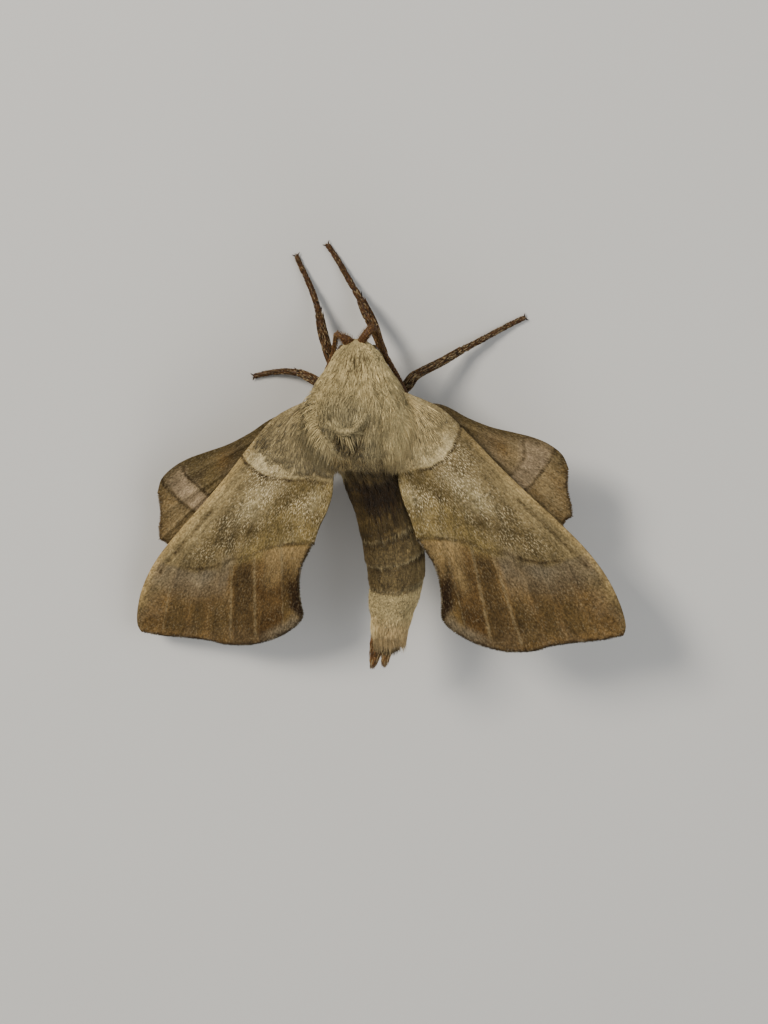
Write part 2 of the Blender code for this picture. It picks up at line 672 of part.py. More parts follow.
def lattice(edge, veins):
    """Points spread inside an outline, clear of its edge and of the veins."""
    low_s, high_s = min(p.x for p in edge), max(p.x for p in edge)
    low_t, high_t = min(p.y for p in edge), max(p.y for p in edge)
    lines = veins + [edge + [edge[0]]]
    found = []
    row = 0
    t = low_t
    while t < high_t:
        s = low_s + (row % 2) * LATTICE_STEP / 2
        while s < high_s:
            here = Vector((s, t))
            if inside(here, edge) and clear_of(here, lines, LATTICE_CLEAR):
                found.append(here)
            s += LATTICE_STEP
        t += LATTICE_ROW
        row += 1
    return found


def inside(point, edge):
    crossed = False
    for a, b in zip(edge, edge[1:] + [edge[0]]):
        if (a.y > point.y) != (b.y > point.y) and point.x < (b.x - a.x) * (point.y - a.y) / (b.y - a.y) + a.x:
            crossed = not crossed
    return crossed


def clear_of(point, lines, distance):
    for line in lines:
        for a, b in zip(line, line[1:]):
            run = b - a
            if run.length_squared == 0:
                continue
            share = max(0.0, min(1.0, (point - a).dot(run) / run.length_squared))
            if (point - a - run * share).length < distance:
                return False
    return True


def smooth_runs(*runs):
    """One closed outline from runs of points, each eased on its own so that corners stay sharp."""
    outline = []
    for run in runs:
        outline += resampled(run, OUTLINE_STEP)[:-1]
    return outline


def stretched(points, reach):
    """Outline points moved out along the wing."""
    return [(s * reach, t) for s, t in points]


def make_forewing(side_name, collection):
    pose = WING_POSE[side_name]
    reach = pose["fore_reach"]
    root = root_edge(side_name, FOREWING_ROOT_Y[side_name], 0.0)
    inner = []
    for s, t in FOREWING_INNER:
        share = (FOREWING_TORNUS[0] - s) / (FOREWING_TORNUS[0] - FOREWING_INNER[-1][0])
        inner.append((s, t + pose["inner_fullness"] * share))
    outline = smooth_runs(
        (root[-1], *stretched((*FOREWING_COSTA, FOREWING_APEX), reach)),
        stretched((FOREWING_APEX, *FOREWING_OUTER, FOREWING_TOOTH), reach),
        stretched((FOREWING_TOOTH, *FOREWING_HOLLOW, FOREWING_TORNUS), reach),
        (*stretched((FOREWING_TORNUS, *inner), reach), root[0]),
        root,
    )
    return make_wing("forewing_" + side_name, side_name, outline, FOREWING_VEINS, 0.0, reach, collection)


def make_hindwing(side_name, collection):
    reach = WING_POSE[side_name]["hind_reach"]
    root = root_edge(side_name, HINDWING_ROOT_Y[side_name], HINDWING_DROP)
    outline = smooth_runs(
        (root[-1], *stretched((*HINDWING_COSTA, *HINDWING_APEX, *HINDWING_OUTER, HINDWING_TOOTH), reach)),
        stretched((HINDWING_TOOTH, *HINDWING_SCALLOPS, HINDWING_ANAL[0]), reach),
        (*stretched(HINDWING_ANAL, reach), root[0]),
        root,
    )
    return make_wing("hindwing_" + side_name, side_name, outline, HINDWING_VEINS, HINDWING_DROP, reach,
                     collection)


# Coat
def make_lock(root, middle, tip, outward, width, collection):
    """A flat tapered lock on a bent line that starts at its root, leans to the middle and ends at its tip."""
    rings = []
    for share, size in LOCK_TAPER:
        at = root * (1 - share) ** 2 + middle * 2 * share * (1 - share) + tip * share ** 2
        along = ((middle - root) * (1 - share) + (tip - middle) * share).normalized()
        across = along.cross(outward).normalized() * width / 2 * size
        up = across.cross(along).normalized() * LOCK_THICKNESS / 2 * min(1.0, size + LOCK_TIP_BODY)
        rings.append([at + across, at + up, at - across, at - up])
    return mesh_object("lock", *loft(rings), collection)


def trunk_point(stations, widest, degrees, y):
    """A point on the trunk's surface and the way outwards there; past its end the surface runs on level."""
    held = max(stations[0][0], min(stations[-1][0], y))
    middle_x, half_width, low, high = eased(stations, held)
    angle = math.radians(degrees)
    reach = (high - widest) if math.sin(angle) > 0 else (widest - low)
    outward = Vector((math.cos(angle) / half_width, 0, math.sin(angle) / reach)).normalized()
    return Vector((middle_x + half_width * math.cos(angle), y, widest + reach * math.sin(angle))), outward


def lock_rows(rows, stations, widest, collection):
    locks = []
    for y, first, last, count, length, turn in rows:
        for k in range(count):
            share = (k + 0.5) / count
            angle = first + (last - first) * share + random.uniform(-LOCK_STRAY, LOCK_STRAY)
            aside = turn * (1 if angle > 90 else -1)
            start = y + random.uniform(-LOCK_JITTER, LOCK_JITTER)
            root, out = trunk_point(stations, widest, angle, start)
            middle, middle_out = trunk_point(stations, widest, angle + aside / 2, start + length / 2)
            tip, tip_out = trunk_point(stations, widest, angle + aside, start + length)
            width = LOCK_WIDTH * random.uniform(*LOCK_WIDTH_RANGE)
            locks.append(make_lock(root - out * LOCK_SINK, middle + middle_out * LOCK_ARCH,
                                   tip + tip_out * LOCK_LIFT, middle_out, width, collection))
    return locks


def wing_top(side_name, x, y):
    """Height of the forewing's upper face, ridges included, over a point of the plan."""
    placing = wing_matrix(side_name)
    back = placing.inverted()
    z = WING_POSE[side_name]["root"][2]
    for _ in range(WING_TOP_PASSES):
        local = back @ Vector((abs(x), y, z))
        z = (placing @ Vector((local.x, local.y, wing_height(side_name, local.x, local.y)))).z
    return z + WING_THICKNESS / 2 + VEIN_HEIGHT


def shoulder_locks(collection):
    """Longer locks that hang from the shoulders over the bases of the wings, clear of them."""
    locks = []
    for label, side in SIDES.items():
        for y, out, back in SHOULDER_LOCKS:
            angle = SHOULDER_ANGLE if side > 0 else 180 - SHOULDER_ANGLE
            root, outward = trunk_point(THORAX_STATIONS, TRUNK_WIDEST, angle, y)
            tip = root + Vector((side * out, back + random.uniform(-LOCK_JITTER, LOCK_JITTER), 0))
            tip.z = wing_top(label, tip.x, tip.y) + GAP + LOCK_THICKNESS / 2
            middle = root.lerp(tip, 0.5)
            middle.z = max(root.z, tip.z) + LOCK_ARCH / 2
            up = Vector((side * SHOULDER_LEAN, 0, 1))
            locks.append(make_lock(root - outward * LOCK_SINK, middle, tip, up, SHOULDER_WIDTH, collection))
    return locks


def make_thorax(collection):
    thorax = trunk_piece("thorax", THORAX_STATIONS, THORAX_RINGS, THORAX_SIDES, TRUNK_WIDEST, collection)
    locks = lock_rows(THORAX_ROWS, THORAX_STATIONS, TRUNK_WIDEST, collection)
    fuse(thorax, locks + shoulder_locks(collection))
    return thorax


def round_ring(y, x, z, radius, sides):
    return [Vector((x, y, z)) + outward * radius for outward in spokes(sides)]


def make_tuft(collection):
    tuft = mesh_object("tail_tuft", *loft([round_ring(*ring, TUFT_SIDES) for ring in TUFT_CORE]), collection)
    locks = []
    root_x, root_z, root_radius = eased(TUFT_CORE, FRINGE_ROOT_Y)
    end_y, end_x, end_z, end_radius = FRINGE_END
    for outward in spokes(FRINGE_LOCKS):
        root = Vector((root_x, FRINGE_ROOT_Y, root_z)) + outward * (root_radius - LOCK_SINK)
        tip = Vector((end_x, end_y + random.uniform(-LOCK_JITTER, LOCK_JITTER), end_z)) + outward * end_radius
        middle = root.lerp(tip, 0.5) + outward * LOCK_ARCH
        locks.append(make_lock(root, middle, tip, outward, FRINGE_WIDTH, collection))
    core_y, core_x, core_z, _ = TUFT_CORE[-1]
    for prong in PRONG_TIPS:
        heart = Vector((core_x + (prong[0] - core_x) * PRONG_PART, core_y - PRONG_SINK, core_z))
        for outward in spokes(PRONG_LOCKS):
            tip = Vector(prong) + outward * PRONG_SPREAD / 2
            tip.y -= random.uniform(0, LOCK_JITTER)
            root = heart + outward * PRONG_SPREAD
            middle = heart.lerp(tip, 0.5) + outward * PRONG_SPREAD
            locks.append(make_lock(root, middle, tip, outward, PRONG_WIDTH, collection))
    fuse(tuft, locks)
    return tuft


def spokes(count):
    """Directions spread evenly round the y axis."""
    return [Vector((math.cos(a), 0, math.sin(a))) for a in (2 * math.pi * k / count for k in range(count))]


def main():
    clear_scene()
    random.seed(SEED)
    moth = new_collection(NAME)
    cutters = new_collection(NAME + "_cutters")
    place = bpy.data.objects.new(NAME, None)
    place.location = (BODY_AT[0] * MM, BODY_AT[1] * MM, 0.0)
    moth.objects.link(place)

    groups = {
        "fur": [make_thorax(moth)],
        "abdomen": [make_abdomen(moth)],
        "tuft": [make_tuft(moth)],
        "antenna": [make_antenna(label, moth) for label in SIDES],
        "forewing": [make_forewing(label, moth) for label in SIDES],
        "hindwing": [make_hindwing(label, moth) for label in SIDES],
        "leg": [make_leg(name, moth) for name in LEGS],
        "eye": [],
    }
    for piece in make_head(moth, cutters):
        groups["eye" if piece.name.startswith("eye") else "fur"].append(piece)
    for slot, pieces in groups.items():
        for piece in pieces:
            piece.data.materials.clear()
            piece.data.materials.append(skin_material(piece.name, slot))
            piece.data.shade_smooth()
            piece.data.set_sharp_from_angle(angle=math.radians(SHARP_ANGLE))
            piece.parent = place
    for cutter in cutters.objects:
        cutter.parent = place


main()
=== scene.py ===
import math

import bmesh
import bpy
import numpy as np
from mathutils import Euler, Matrix, Vector
from mathutils.geometry import delaunay_2d_cdt


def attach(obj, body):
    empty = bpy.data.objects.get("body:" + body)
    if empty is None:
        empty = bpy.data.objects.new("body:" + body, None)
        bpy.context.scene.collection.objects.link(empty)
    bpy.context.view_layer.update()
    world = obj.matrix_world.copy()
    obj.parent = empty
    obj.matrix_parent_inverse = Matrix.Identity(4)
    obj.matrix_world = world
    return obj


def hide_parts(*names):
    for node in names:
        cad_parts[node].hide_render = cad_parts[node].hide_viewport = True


# The looks of a walnut sphinx moth at rest: furred trunk, scaled wings, legs and feelers.
# Sizes are in millimetres from the middle of the thorax's plan, as in the part's own construction.
# They become metres in the frame's place as each mesh is made. Arrays hold one row for each point.
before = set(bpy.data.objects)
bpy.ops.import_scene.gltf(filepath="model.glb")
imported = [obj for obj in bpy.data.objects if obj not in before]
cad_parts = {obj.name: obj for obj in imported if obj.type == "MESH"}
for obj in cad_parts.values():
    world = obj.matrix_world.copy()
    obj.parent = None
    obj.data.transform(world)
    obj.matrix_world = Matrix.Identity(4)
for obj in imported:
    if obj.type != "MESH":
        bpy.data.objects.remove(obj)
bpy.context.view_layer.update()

MM = 0.001
BODY_AT = (1.5, -5.2, 0.0)
SIDES = {"left": 1, "right": -1}
SEED = 21
UP = np.array((0.0, 0.0, 1.0))
FAR = 99.0

# Trunk: stations from the brow to the tail, (y, middle x, widest height, half width, underside z, top z)
TRUNK_STATIONS = (
    (-6.62, 0.1, 6.7, 0.22, 6.35, 7.05),
    (-6.45, 0.1, 6.7, 0.65, 5.95, 7.35),
    (-6.1, 0.1, 6.7, 1.2, 5.45, 7.9),
    (-5.6, 0.1, 6.7, 1.75, 5.0, 8.5),
    (-5.1, 0.1, 6.8, 2.1, 4.75, 9.0),
    (-4.6, 0.1, 7.1, 2.35, 4.55, 9.5),
    (-4.1, 0.1, 7.6, 2.65, 4.3, 10.1),
    (-3.5, 0.1, 8.0, 3.15, 3.9, 10.9),
    (-2.4, 0.1, 8.0, 3.9, 3.5, 11.8),
    (-0.9, 0.0, 8.0, 4.2, 3.3, 12.3),
    (0.5, 0.0, 8.0, 4.05, 3.4, 12.35),
    (1.5, -0.1, 8.0, 3.65, 3.6, 11.9),
    (2.8, -0.3, 8.0, 3.1, 4.0, 11.4),
    (3.8, -0.5, 7.8, 2.75, 4.4, 10.7),
    (4.6, -0.8, 7.4, 2.55, 4.7, 9.8),
    (5.6, -1.25, 7.0, 2.5, 4.7, 9.15),
    (7.0, -1.8, 6.8, 2.6, 4.65, 8.95),
    (9.6, -2.5, 6.9, 2.55, 4.7, 9.1),
    (12.4, -3.1, 7.1, 2.7, 4.8, 9.4),
    (15.6, -3.3, 7.4, 2.45, 5.25, 9.55),
    (17.8, -3.0, 7.65, 2.05, 5.7, 9.6),
    (19.2, -2.88, 7.8, 1.75, 6.1, 9.5),
    (20.6, -2.65, 7.9, 1.45, 6.45, 9.35),
    (21.6, -2.4, 8.05, 0.95, 7.1, 9.0),
    (22.0, -2.3, 8.1, 0.3, 7.8, 8.4),
)
TRUNK_FRONT = TRUNK_STATIONS[0][0]
TRUNK_REAR = TRUNK_STATIONS[-1][0]
WAIST_Y = 4.8
WAIST_LENGTH = 3.0
SEGMENT_ENDS = (7.6, 10.95, 13.85, 16.4, 18.9)
SEGMENT_LEAN = (0.3, 0.5, 0.25)
SEGMENT_STEP = 0.14
SEGMENT_NEUTRAL = 0.4
SKIN_STEP = 0.1
SKIN_SIDES = 120
NORMAL_STEP = 0.02
SKIN_SHADE = 0.8
SKIN_UNWRAP = 0.99

# Lip of the thorax: its edge as (degrees round the trunk, y), the degrees between which it shows, and its
# profile as distances behind the edge
LIP = ((40, -0.9), (55, -0.25), (62, 0.0), (72, 0.22), (78, 0.2), (85, -0.05), (93, -0.67), (105, -1.6))
LIP_SPAN = (46, 58, 106, 95)
LIP_HEIGHT = 0.12
LIP_CREST_AT = -0.3
LIP_CREST_WIDTH = 0.5
LIP_DROP = 0.42
LIP_FALL = (-0.05, 0.45)
LIP_RUNOUT = (2.8, 1.0)

# Hollows of the thorax, darkened with painted shade: (y, degrees round it, depth, reach along it, reach round
# it in degrees)
HOLLOW_SHADE = 0.9
HOLLOWS = (
    (1.15, 60, 0.5, 0.4, 7),
    (1.35, 91, 0.45, 0.45, 9),
    (2.0, 119, 0.4, 1.1, 5),
    (-3.0, 143, 0.3, 0.25, 3),
)

# Coat along the trunk: (y, tuft length, width, lift over the skin, tufts for each square millimetre)
COAT_STATIONS = (
    (-6.6, 0.5, 0.055, 0.07, 180.0),
    (-6.0, 0.75, 0.06, 0.09, 180.0),
    (-5.0, 1.4, 0.065, 0.12, 150.0),
    (-4.0, 2.2, 0.07, 0.16, 125.0),
    (-2.0, 2.9, 0.075, 0.2, 115.0),
    (0.0, 2.8, 0.075, 0.24, 115.0),
    (2.0, 1.6, 0.07, 0.32, 120.0),
    (3.6, 1.0, 0.07, 0.3, 120.0),
    (4.6, 1.4, 0.065, 0.26, 125.0),
    (5.5, 1.9, 0.065, 0.26, 130.0),
    (8.0, 1.7, 0.055, 0.18, 140.0),
    (10.5, 1.1, 0.055, 0.12, 170.0),
    (13.0, 0.5, 0.055, 0.08, 220.0),
    (16.0, 0.5, 0.06, 0.1, 200.0),
    (17.5, 0.7, 0.06, 0.17, 190.0),
    (18.8, 1.5, 0.065, 0.16, 180.0),
    (20.5, 1.8, 0.065, 0.18, 180.0),
    (22.0, 1.2, 0.065, 0.15, 180.0),
)
COAT_SPLITS = (-4.3, -1.5, 0.6, 2.6, 5.6, 9.0, 12.2, 15.2, 18.2)
COAT_END = 20.4
COAT_LOCK = (1.6, 0.1)
COAT_STRAND = (0.8, 0.035)
LOCK_ROWS = 997
PROBE_PLACES = 40
PROBE_ANGLES = (0.0, 1.57, 3.1, 4.7)
PROBE_MARGIN = 1.15
AREA_PLACES = 60

# Tufts: rings from root to tip, as (share of the length, share of the width), and the size of one on the map
TUFT_RINGS = ((0.0, 0.8), (0.5, 1.0))
PATCH = 0.003
# Painted shade at each tuft's root and painted light at its tip, as gains on its tint
ROOT_SHADE = 0.72
TIP_SHADE = 1.1

# Hair: widths, how deep roots sink into the skin, and numbers of tufts, or of scales on a square millimetre
HAIR_WIDTHS = (0.06, 0.1)
COAT_SINK = 0.08
HAIR_SINK = 0.1
LIP_TUFTS = 480
BASE_HAIR_DRAWS = 26000
BROW_TUFTS = 3600
EYE_RIM_TUFTS = 900
PALP_TUFTS = 900
FEELER_SCALES = 1300
BROOM_TUFTS = 5200
HOLLOW_TUFTS = 420
PRONG_TUFTS = 700
LEG_SCALES = 75

# Eyes, palps and feelers, as in the construction
EYE_AT = (1.4, -5.53, 6.35)
EYE_SHOWN = (0.52, 0.68, 0.9)
EYE_SET = (-0.05, 0.18, -0.1)
HEAD_X = 0.1
BROW_SPAN = (-6.35, -4.0)
BROW_DEGREES = (14, 75)
BROW_REACH = ((-6.35, 0.25), (-5.5, 0.6), (-4.0, 0.6))
PALP_ROOT = (0.62, -4.85, 3.95)
PALP_TIP = (0.45, -6.0, 4.7)
PALP_RADIUS = 0.32
PALP_TAPER = ((0.0, 0.7), (0.3, 1.0), (0.65, 0.95), (0.9, 0.6), (1.0, 0.25))
ANTENNA_PATHS = {
    "left": ((0.45, -5.8, 6.3), (1.0, -6.55, 6.75), (1.5, -6.95, 6.95), (1.9, -7.12, 6.75), (2.05, -6.9, 6.0),
             (2.1, -6.4, 5.2), (2.2, -5.6, 4.7), (2.42, -4.5, 4.5), (2.95, -3.2, 4.45),
             (3.6, -1.8, 4.5), (4.15, -0.2, 4.6), (4.5, 1.4, 4.7)),
    "right": ((0.0, -5.8, 6.4), (-0.3, -6.6, 6.9), (-0.72, -7.3, 7.15), (-1.15, -7.68, 6.85),
              (-1.4, -7.35, 6.0), (-1.75, -6.4, 5.3), (-2.2, -5.1, 5.0), (-2.95, -3.7, 5.0),
              (-3.75, -2.3, 5.1), (-4.35, -0.8, 5.1), (-4.7, 0.8, 5.0)),
}
ANTENNA_RADII = {
    "left": ((0.0, 0.25), (0.07, 0.46), (0.11, 0.36), (0.15, 0.2), (0.22, 0.15),
             (0.5, 0.2), (0.85, 0.15), (1.0, 0.08)),
    "right": ((0.0, 0.25), (0.07, 0.36), (0.2, 0.33), (0.28, 0.22), (0.5, 0.22), (0.85, 0.15), (1.0, 0.08)),
}
ANTENNA_RING = 0.2
ANTENNA_SIDES = 16
ANTENNA_PINCH = 0.14
BRANCH_DEGREES = (200.0, 235.0, 305.0, 340.0)
BRANCH_LENGTH = 0.26
BRANCH_WIDTH = 0.055
PALP_SIDES = 16

# Legs: points from the root to the end of the shin and from there to the toe, as (x, y, z, radius)
FOOT_Z = 0.18
FOOT_CLEAR = 0.07
LEGS = {
    "foreleg_left": (((1.9, -2.7, 3.3, 0.45), (2.6, -4.0, 2.95, 0.48), (3.0, -5.1, 2.55, 0.5),
                      (3.35, -6.3, 2.0, 0.5), (3.6, -7.5, 1.4, 0.42)),
                     ((3.6, -7.5, 1.4, 0.31), (4.1, -9.2, 0.8, 0.3), (4.7, -10.6, 0.42, 0.28),
                      (5.45, -12.2, FOOT_Z, 0.26), (5.75, -13.1, FOOT_Z, 0.25))),
    "foreleg_right": (((-1.6, -2.6, 3.3, 0.45), (-2.2, -3.9, 3.0, 0.42), (-1.75, -5.5, 2.75, 0.42),
                       (-1.2, -6.9, 2.2, 0.52), (-0.65, -7.9, 1.75, 0.56), (-0.2, -8.8, 1.25, 0.46)),
                      ((-0.2, -8.8, 1.25, 0.33), (0.75, -10.3, 0.7, 0.31), (1.45, -11.5, 0.38, 0.29),
                       (2.3, -12.9, FOOT_Z, 0.27), (3.1, -14.05, FOOT_Z, 0.25))),
    "midleg_left": (((2.4, -0.9, 3.6, 0.5), (3.3, -1.45, 3.1, 0.54), (4.35, -1.95, 2.4, 0.48),
                     (5.4, -2.2, 1.45, 0.38)),
                    ((5.4, -2.2, 1.45, 0.33), (6.6, -2.2, 0.8, 0.31), (7.7, -2.05, 0.4, 0.29),
                     (8.9, -1.8, FOOT_Z, 0.27), (10.2, -1.45, FOOT_Z, 0.25))),
    "midleg_right": (((-2.5, -0.4, 3.6, 0.5), (-3.5, -1.0, 3.5, 0.54), (-4.35, -1.75, 3.75, 0.54),
                      (-4.8, -2.45, 3.75, 0.5), (-5.9, -2.9, 2.95, 0.42), (-7.4, -3.4, 1.95, 0.42),
                      (-9.1, -4.2, 1.15, 0.38)),
                     ((-9.1, -4.2, 1.15, 0.33), (-10.8, -5.0, 0.75, 0.31), (-12.4, -5.8, 0.4, 0.29),
                      (-13.9, -6.55, FOOT_Z, 0.27), (-15.35, -7.25, FOOT_Z, 0.25))),
    "hindleg_left": (((2.0, 2.0, 3.75, 0.5), (3.2, 3.2, 3.6, 0.56), (4.5, 4.4, 3.7, 0.54),
                      (5.3, 5.4, 3.4, 0.48), (5.7, 7.0, 2.5, 0.44), (6.1, 8.8, 1.45, 0.38)),
                     ((6.1, 8.8, 1.45, 0.33), (6.55, 10.4, 0.85, 0.31), (7.05, 11.9, 0.42, 0.29),
                      (7.7, 13.5, FOOT_Z, 0.27), (8.3, 15.0, FOOT_Z, 0.25))),
    "hindleg_right": (((-2.3, 1.9, 3.75, 0.5), (-3.5, 3.0, 3.6, 0.56), (-4.9, 4.1, 3.8, 0.54),
                       (-5.9, 5.0, 3.5, 0.48), (-6.6, 6.5, 2.6, 0.44), (-7.3, 8.2, 1.45, 0.38)),
                      ((-7.3, 8.2, 1.45, 0.33), (-7.95, 9.8, 0.85, 0.31), (-8.6, 11.3, 0.42, 0.29),
                       (-9.35, 12.9, FOOT_Z, 0.27), (-10.0, 14.4, FOOT_Z, 0.25))),
}
LEG_SIDES = 18
LEG_CORE = 0.78
SHIN_STEP = 0.3
KNEE_AT = 0.45
KNEE_REACH = 1.5
KNEE_PINCH = 0.1
TOE_STEP = 0.12
TOE_JOINTS = 5
TOE_FLARE = (0.82, 0.28)
TOE_END = 0.7
SPUR_LENGTH = 1.0
SPUR_WIDTH = 0.2
SPINE_WIDTH = 0.07
CLAW_LENGTH = 0.36
CLAW_WIDTH = 0.11
CLAW_ROOM = 4
TUBE_UNWRAP = 0.98

# Scales and hair along limbs: length, width and lift, each as (share of the way, value)
LIMB_SCALES = {
    "shin": (((0.0, 0.75), (0.5, 0.5), (1.0, 0.42)), ((0.0, 0.1), (1.0, 0.085)), ((0.0, 0.12), (1.0, 0.06))),
    "toes": (((0.0, 0.34), (1.0, 0.24)), ((0.0, 0.08), (1.0, 0.06)), ((0.0, 0.05), (1.0, 0.04))),
    "antenna": (((0.0, 0.2), (1.0, 0.12)), ((0.0, 0.075), (1.0, 0.055)), ((0.0, 0.02), (1.0, 0.02))),
    "palp": (((0.0, 0.45), (1.0, 0.25)), ((0.0, 0.08), (1.0, 0.06)), ((0.0, 0.08), (1.0, 0.05))),
}

# Tail: a broom of golden hair round a hollow of dark hair in painted shade, and two rusty prongs as (root,
# tip, girth, golden share)
HOLLOW_ROOTS = (21.2, 21.9)
BROOM_ROOTS = (18.4, 20.9)
BROOM_END = (-2.5, 21.75, 8.05)
BROOM_RADII = (1.4, 1.15)
PRONGS = (
    ((-1.9, 20.5, 7.9), (-1.1, 24.4, 8.0), 0.9, 0.2),
    ((-2.55, 20.5, 7.95), (-2.25, 24.2, 8.1), 0.8, 0.55),
)

# Wings: local s runs from the root to the wing's tip and t from the leading edge to the rear
FOREWING_LENGTH = 31.0
HINDWING_DROP = 1.15
WING_POSE = {
    "left": {"root": (4.5, -2.1, 8.7), "turn": (12.8, 5.8, 54.8), "bend": 0.0076, "twist": 0.0059,
             "arch": 0.005, "fore_reach": 0.995, "hind_reach": 1.06, "inner_fullness": 1.2},
    "right": {"root": (4.0, -2.8, 8.7), "turn": (4.8, 2.1, 49.1), "bend": -0.0013, "twist": -0.0009,
              "arch": 0.002, "fore_reach": 1.006, "hind_reach": 0.98, "inner_fullness": 0.1},
}
FOREWING_COSTA = ((3.3, -1.15), (7.0, -1.5), (10.5, -1.6), (14.2, -1.85), (18.5, -2.25), (22.2, -2.45),
                  (25.5, -2.2), (28.4, -1.45), (30.4, -0.5))
FOREWING_APEX = (FOREWING_LENGTH, 0.4)
FOREWING_OUTER = ((30.0, 2.1), (28.45, 4.2), (27.25, 6.0), (26.65, 7.3), (25.3, 8.95), (24.0, 10.0),
                  (22.3, 10.95), (20.35, 11.6), (18.9, 11.75))
FOREWING_TOOTH = (18.0, 11.45)
FOREWING_HOLLOW = ((17.0, 10.55), (15.6, 9.55), (14.1, 8.85), (12.7, 8.55))
FOREWING_TORNUS = (11.1, 8.35)
FOREWING_INNER = ((9.5, 7.55), (7.8, 6.9), (6.2, 6.1), (5.1, 5.3))
FOREWING_ROOT_Y = {"left": (-2.0, 4.0), "right": (-2.7, 3.7)}
HINDWING_COSTA = ((3.6, -1.3), (6.2, -2.3), (8.3, -3.3), (10.2, -4.55), (11.7, -5.5), (13.2, -6.15))
HINDWING_APEX = ((14.8, -6.4), (16.3, -5.95))
HINDWING_OUTER = ((17.7, -4.8), (19.1, -4.1))
HINDWING_TOOTH = (20.0, -3.45)
HINDWING_SCALLOPS = ((19.95, -2.6), (20.5, -1.6), (20.2, -0.4), (20.3, 0.9), (19.4, 1.9), (18.9, 3.2),
                     (17.6, 3.9), (16.2, 5.2), (14.6, 5.5))
HINDWING_ANAL = ((13.0, 5.7), (9.8, 4.7), (6.0, 3.7), (3.9, 3.3))
HINDWING_ROOT_Y = {"left": (-0.9, 1.7), "right": (-1.2, 1.4)}
FOREWING_VEINS = (
    ((1.0, -0.1), (7.0, -0.7), (14.5, -1.15), (20.0, -1.6), (23.5, -2.0)),
    ((1.6, 0.8), (6.0, 0.3), (12.0, 0.0), (17.0, -0.6), (22.0, -0.3), (29.6, 2.2)),
    ((9.0, 0.1), (16.0, -0.95), (21.0, -1.1), (27.2, -1.4)),
    ((12.0, 0.0), (16.0, 0.7), (20.1, 1.6), (28.1, 4.2)),
    ((11.9, 0.8), (18.0, 2.5), (22.5, 4.2), (26.9, 6.1)),
    ((12.0, 0.0), (11.9, 0.8), (11.6, 2.2), (11.2, 3.2)),
    ((11.6, 2.2), (17.0, 3.7), (21.5, 5.8), (25.7, 8.0)),
    ((1.9, 2.1), (6.0, 2.9), (8.5, 3.3), (11.2, 3.2), (14.5, 5.0), (19.0, 7.3), (23.5, 9.7)),
    ((10.2, 3.25), (13.0, 5.6), (17.0, 8.5), (20.6, 11.0)),
    ((8.5, 3.3), (11.5, 6.0), (14.6, 8.0), (17.8, 10.8)),
    ((2.6, 3.6), (6.0, 4.9), (11.0, 7.9)),
)
HINDWING_VEINS = (
    ((1.8, 0.1), (5.0, -1.0), (9.5, -3.0), (14.9, -5.8)),
    ((2.2, 0.8), (5.5, -0.4), (9.0, -1.4), (13.0, -2.9), (17.5, -4.5)),
    ((9.0, -1.4), (14.0, -2.3), (19.6, -3.3)),
    ((9.0, -1.4), (9.3, -0.5), (9.0, 0.4)),
    ((9.3, -0.5), (14.5, -0.8), (20.0, -1.5)),
    ((2.6, 1.7), (6.5, 1.2), (9.0, 0.4), (14.5, 0.7), (19.9, 0.8)),
    ((8.0, 0.7), (13.0, 1.8), (18.6, 3.1)),
    ((6.5, 1.2), (11.0, 2.9), (15.9, 5.0)),
    ((3.0, 2.5), (7.0, 2.9), (12.7, 5.4)),
)
WING_STEP = 0.15
MERGE_DISTANCE = 1e-4
WING_TOP = 0.2
WING_UNDER = 0.02
VEIN_RISE = 0.13
VEIN_HALF_WIDTH = 0.22
PLEAT_DEPTH = 0.08
PLEAT_REACH = 0.9
MARGIN_REACH = 0.8
MARGIN_RELIEF = 0.4
UNDER_RELIEF = 0.7
UNDER_SHADE = 0.55
EDGE_STEP = 0.16
FRINGE_STEP = 0.045
FRINGE_REACH = 0.22
FRINGED = (0.05, 1.0, 1.0, 0.3, 0.0)

# Wing markings: lines from the leading edge to the rear, and pale rays out to the margin, each as
# (start, end, faintness)
INNER_LINE = {
    "left": ((8.3, -1.9), (8.7, -0.2), (8.6, 1.2), (7.9, 2.4), (6.4, 4.4), (4.9, 6.6)),
    "right": ((5.8, -1.7), (6.9, 0.2), (7.3, 1.6), (7.0, 2.9), (6.2, 4.4), (5.4, 6.0)),
}
OUTER_LINE = ((22.4, -2.7), (21.8, -0.6), (20.9, 1.0), (19.3, 2.3), (17.6, 3.2), (15.9, 4.5), (14.2, 5.2),
              (12.6, 6.6), (11.4, 7.9), (10.9, 9.4))
COSTAL_LINE = ((14.5, -0.9), (18.6, -1.2), (23.5, -1.5))
RAYS = {
    "left": {"A": ((20.9, -1.1), (29.4, 1.9), 0.05), "B": ((20.2, 0.9), (28.3, 3.8), 0.1),
             "C": ((19.6, 2.4), (27.2, 5.6), 0.11), "D": ((17.0, 2.9), (25.9, 7.75), 0.0),
             "E": ((14.3, 3.7), (23.6, 9.3), 0.0), "F": ((12.8, 5.8), (21.2, 11.1), 0.05)},
    "right": {"A": ((20.9, 0.2), (29.4, 1.9), 0.07), "B": ((20.2, 1.6), (28.3, 4.2), 0.13),
              "C": ((18.9, 2.9), (27.0, 6.0), 0.13), "D": ((16.3, 3.9), (25.5, 7.8), 0.0),
              "E": ((14.0, 4.55), (23.4, 9.75), 0.0), "F": ((12.4, 6.3), (20.8, 10.6), 0.08)},
}
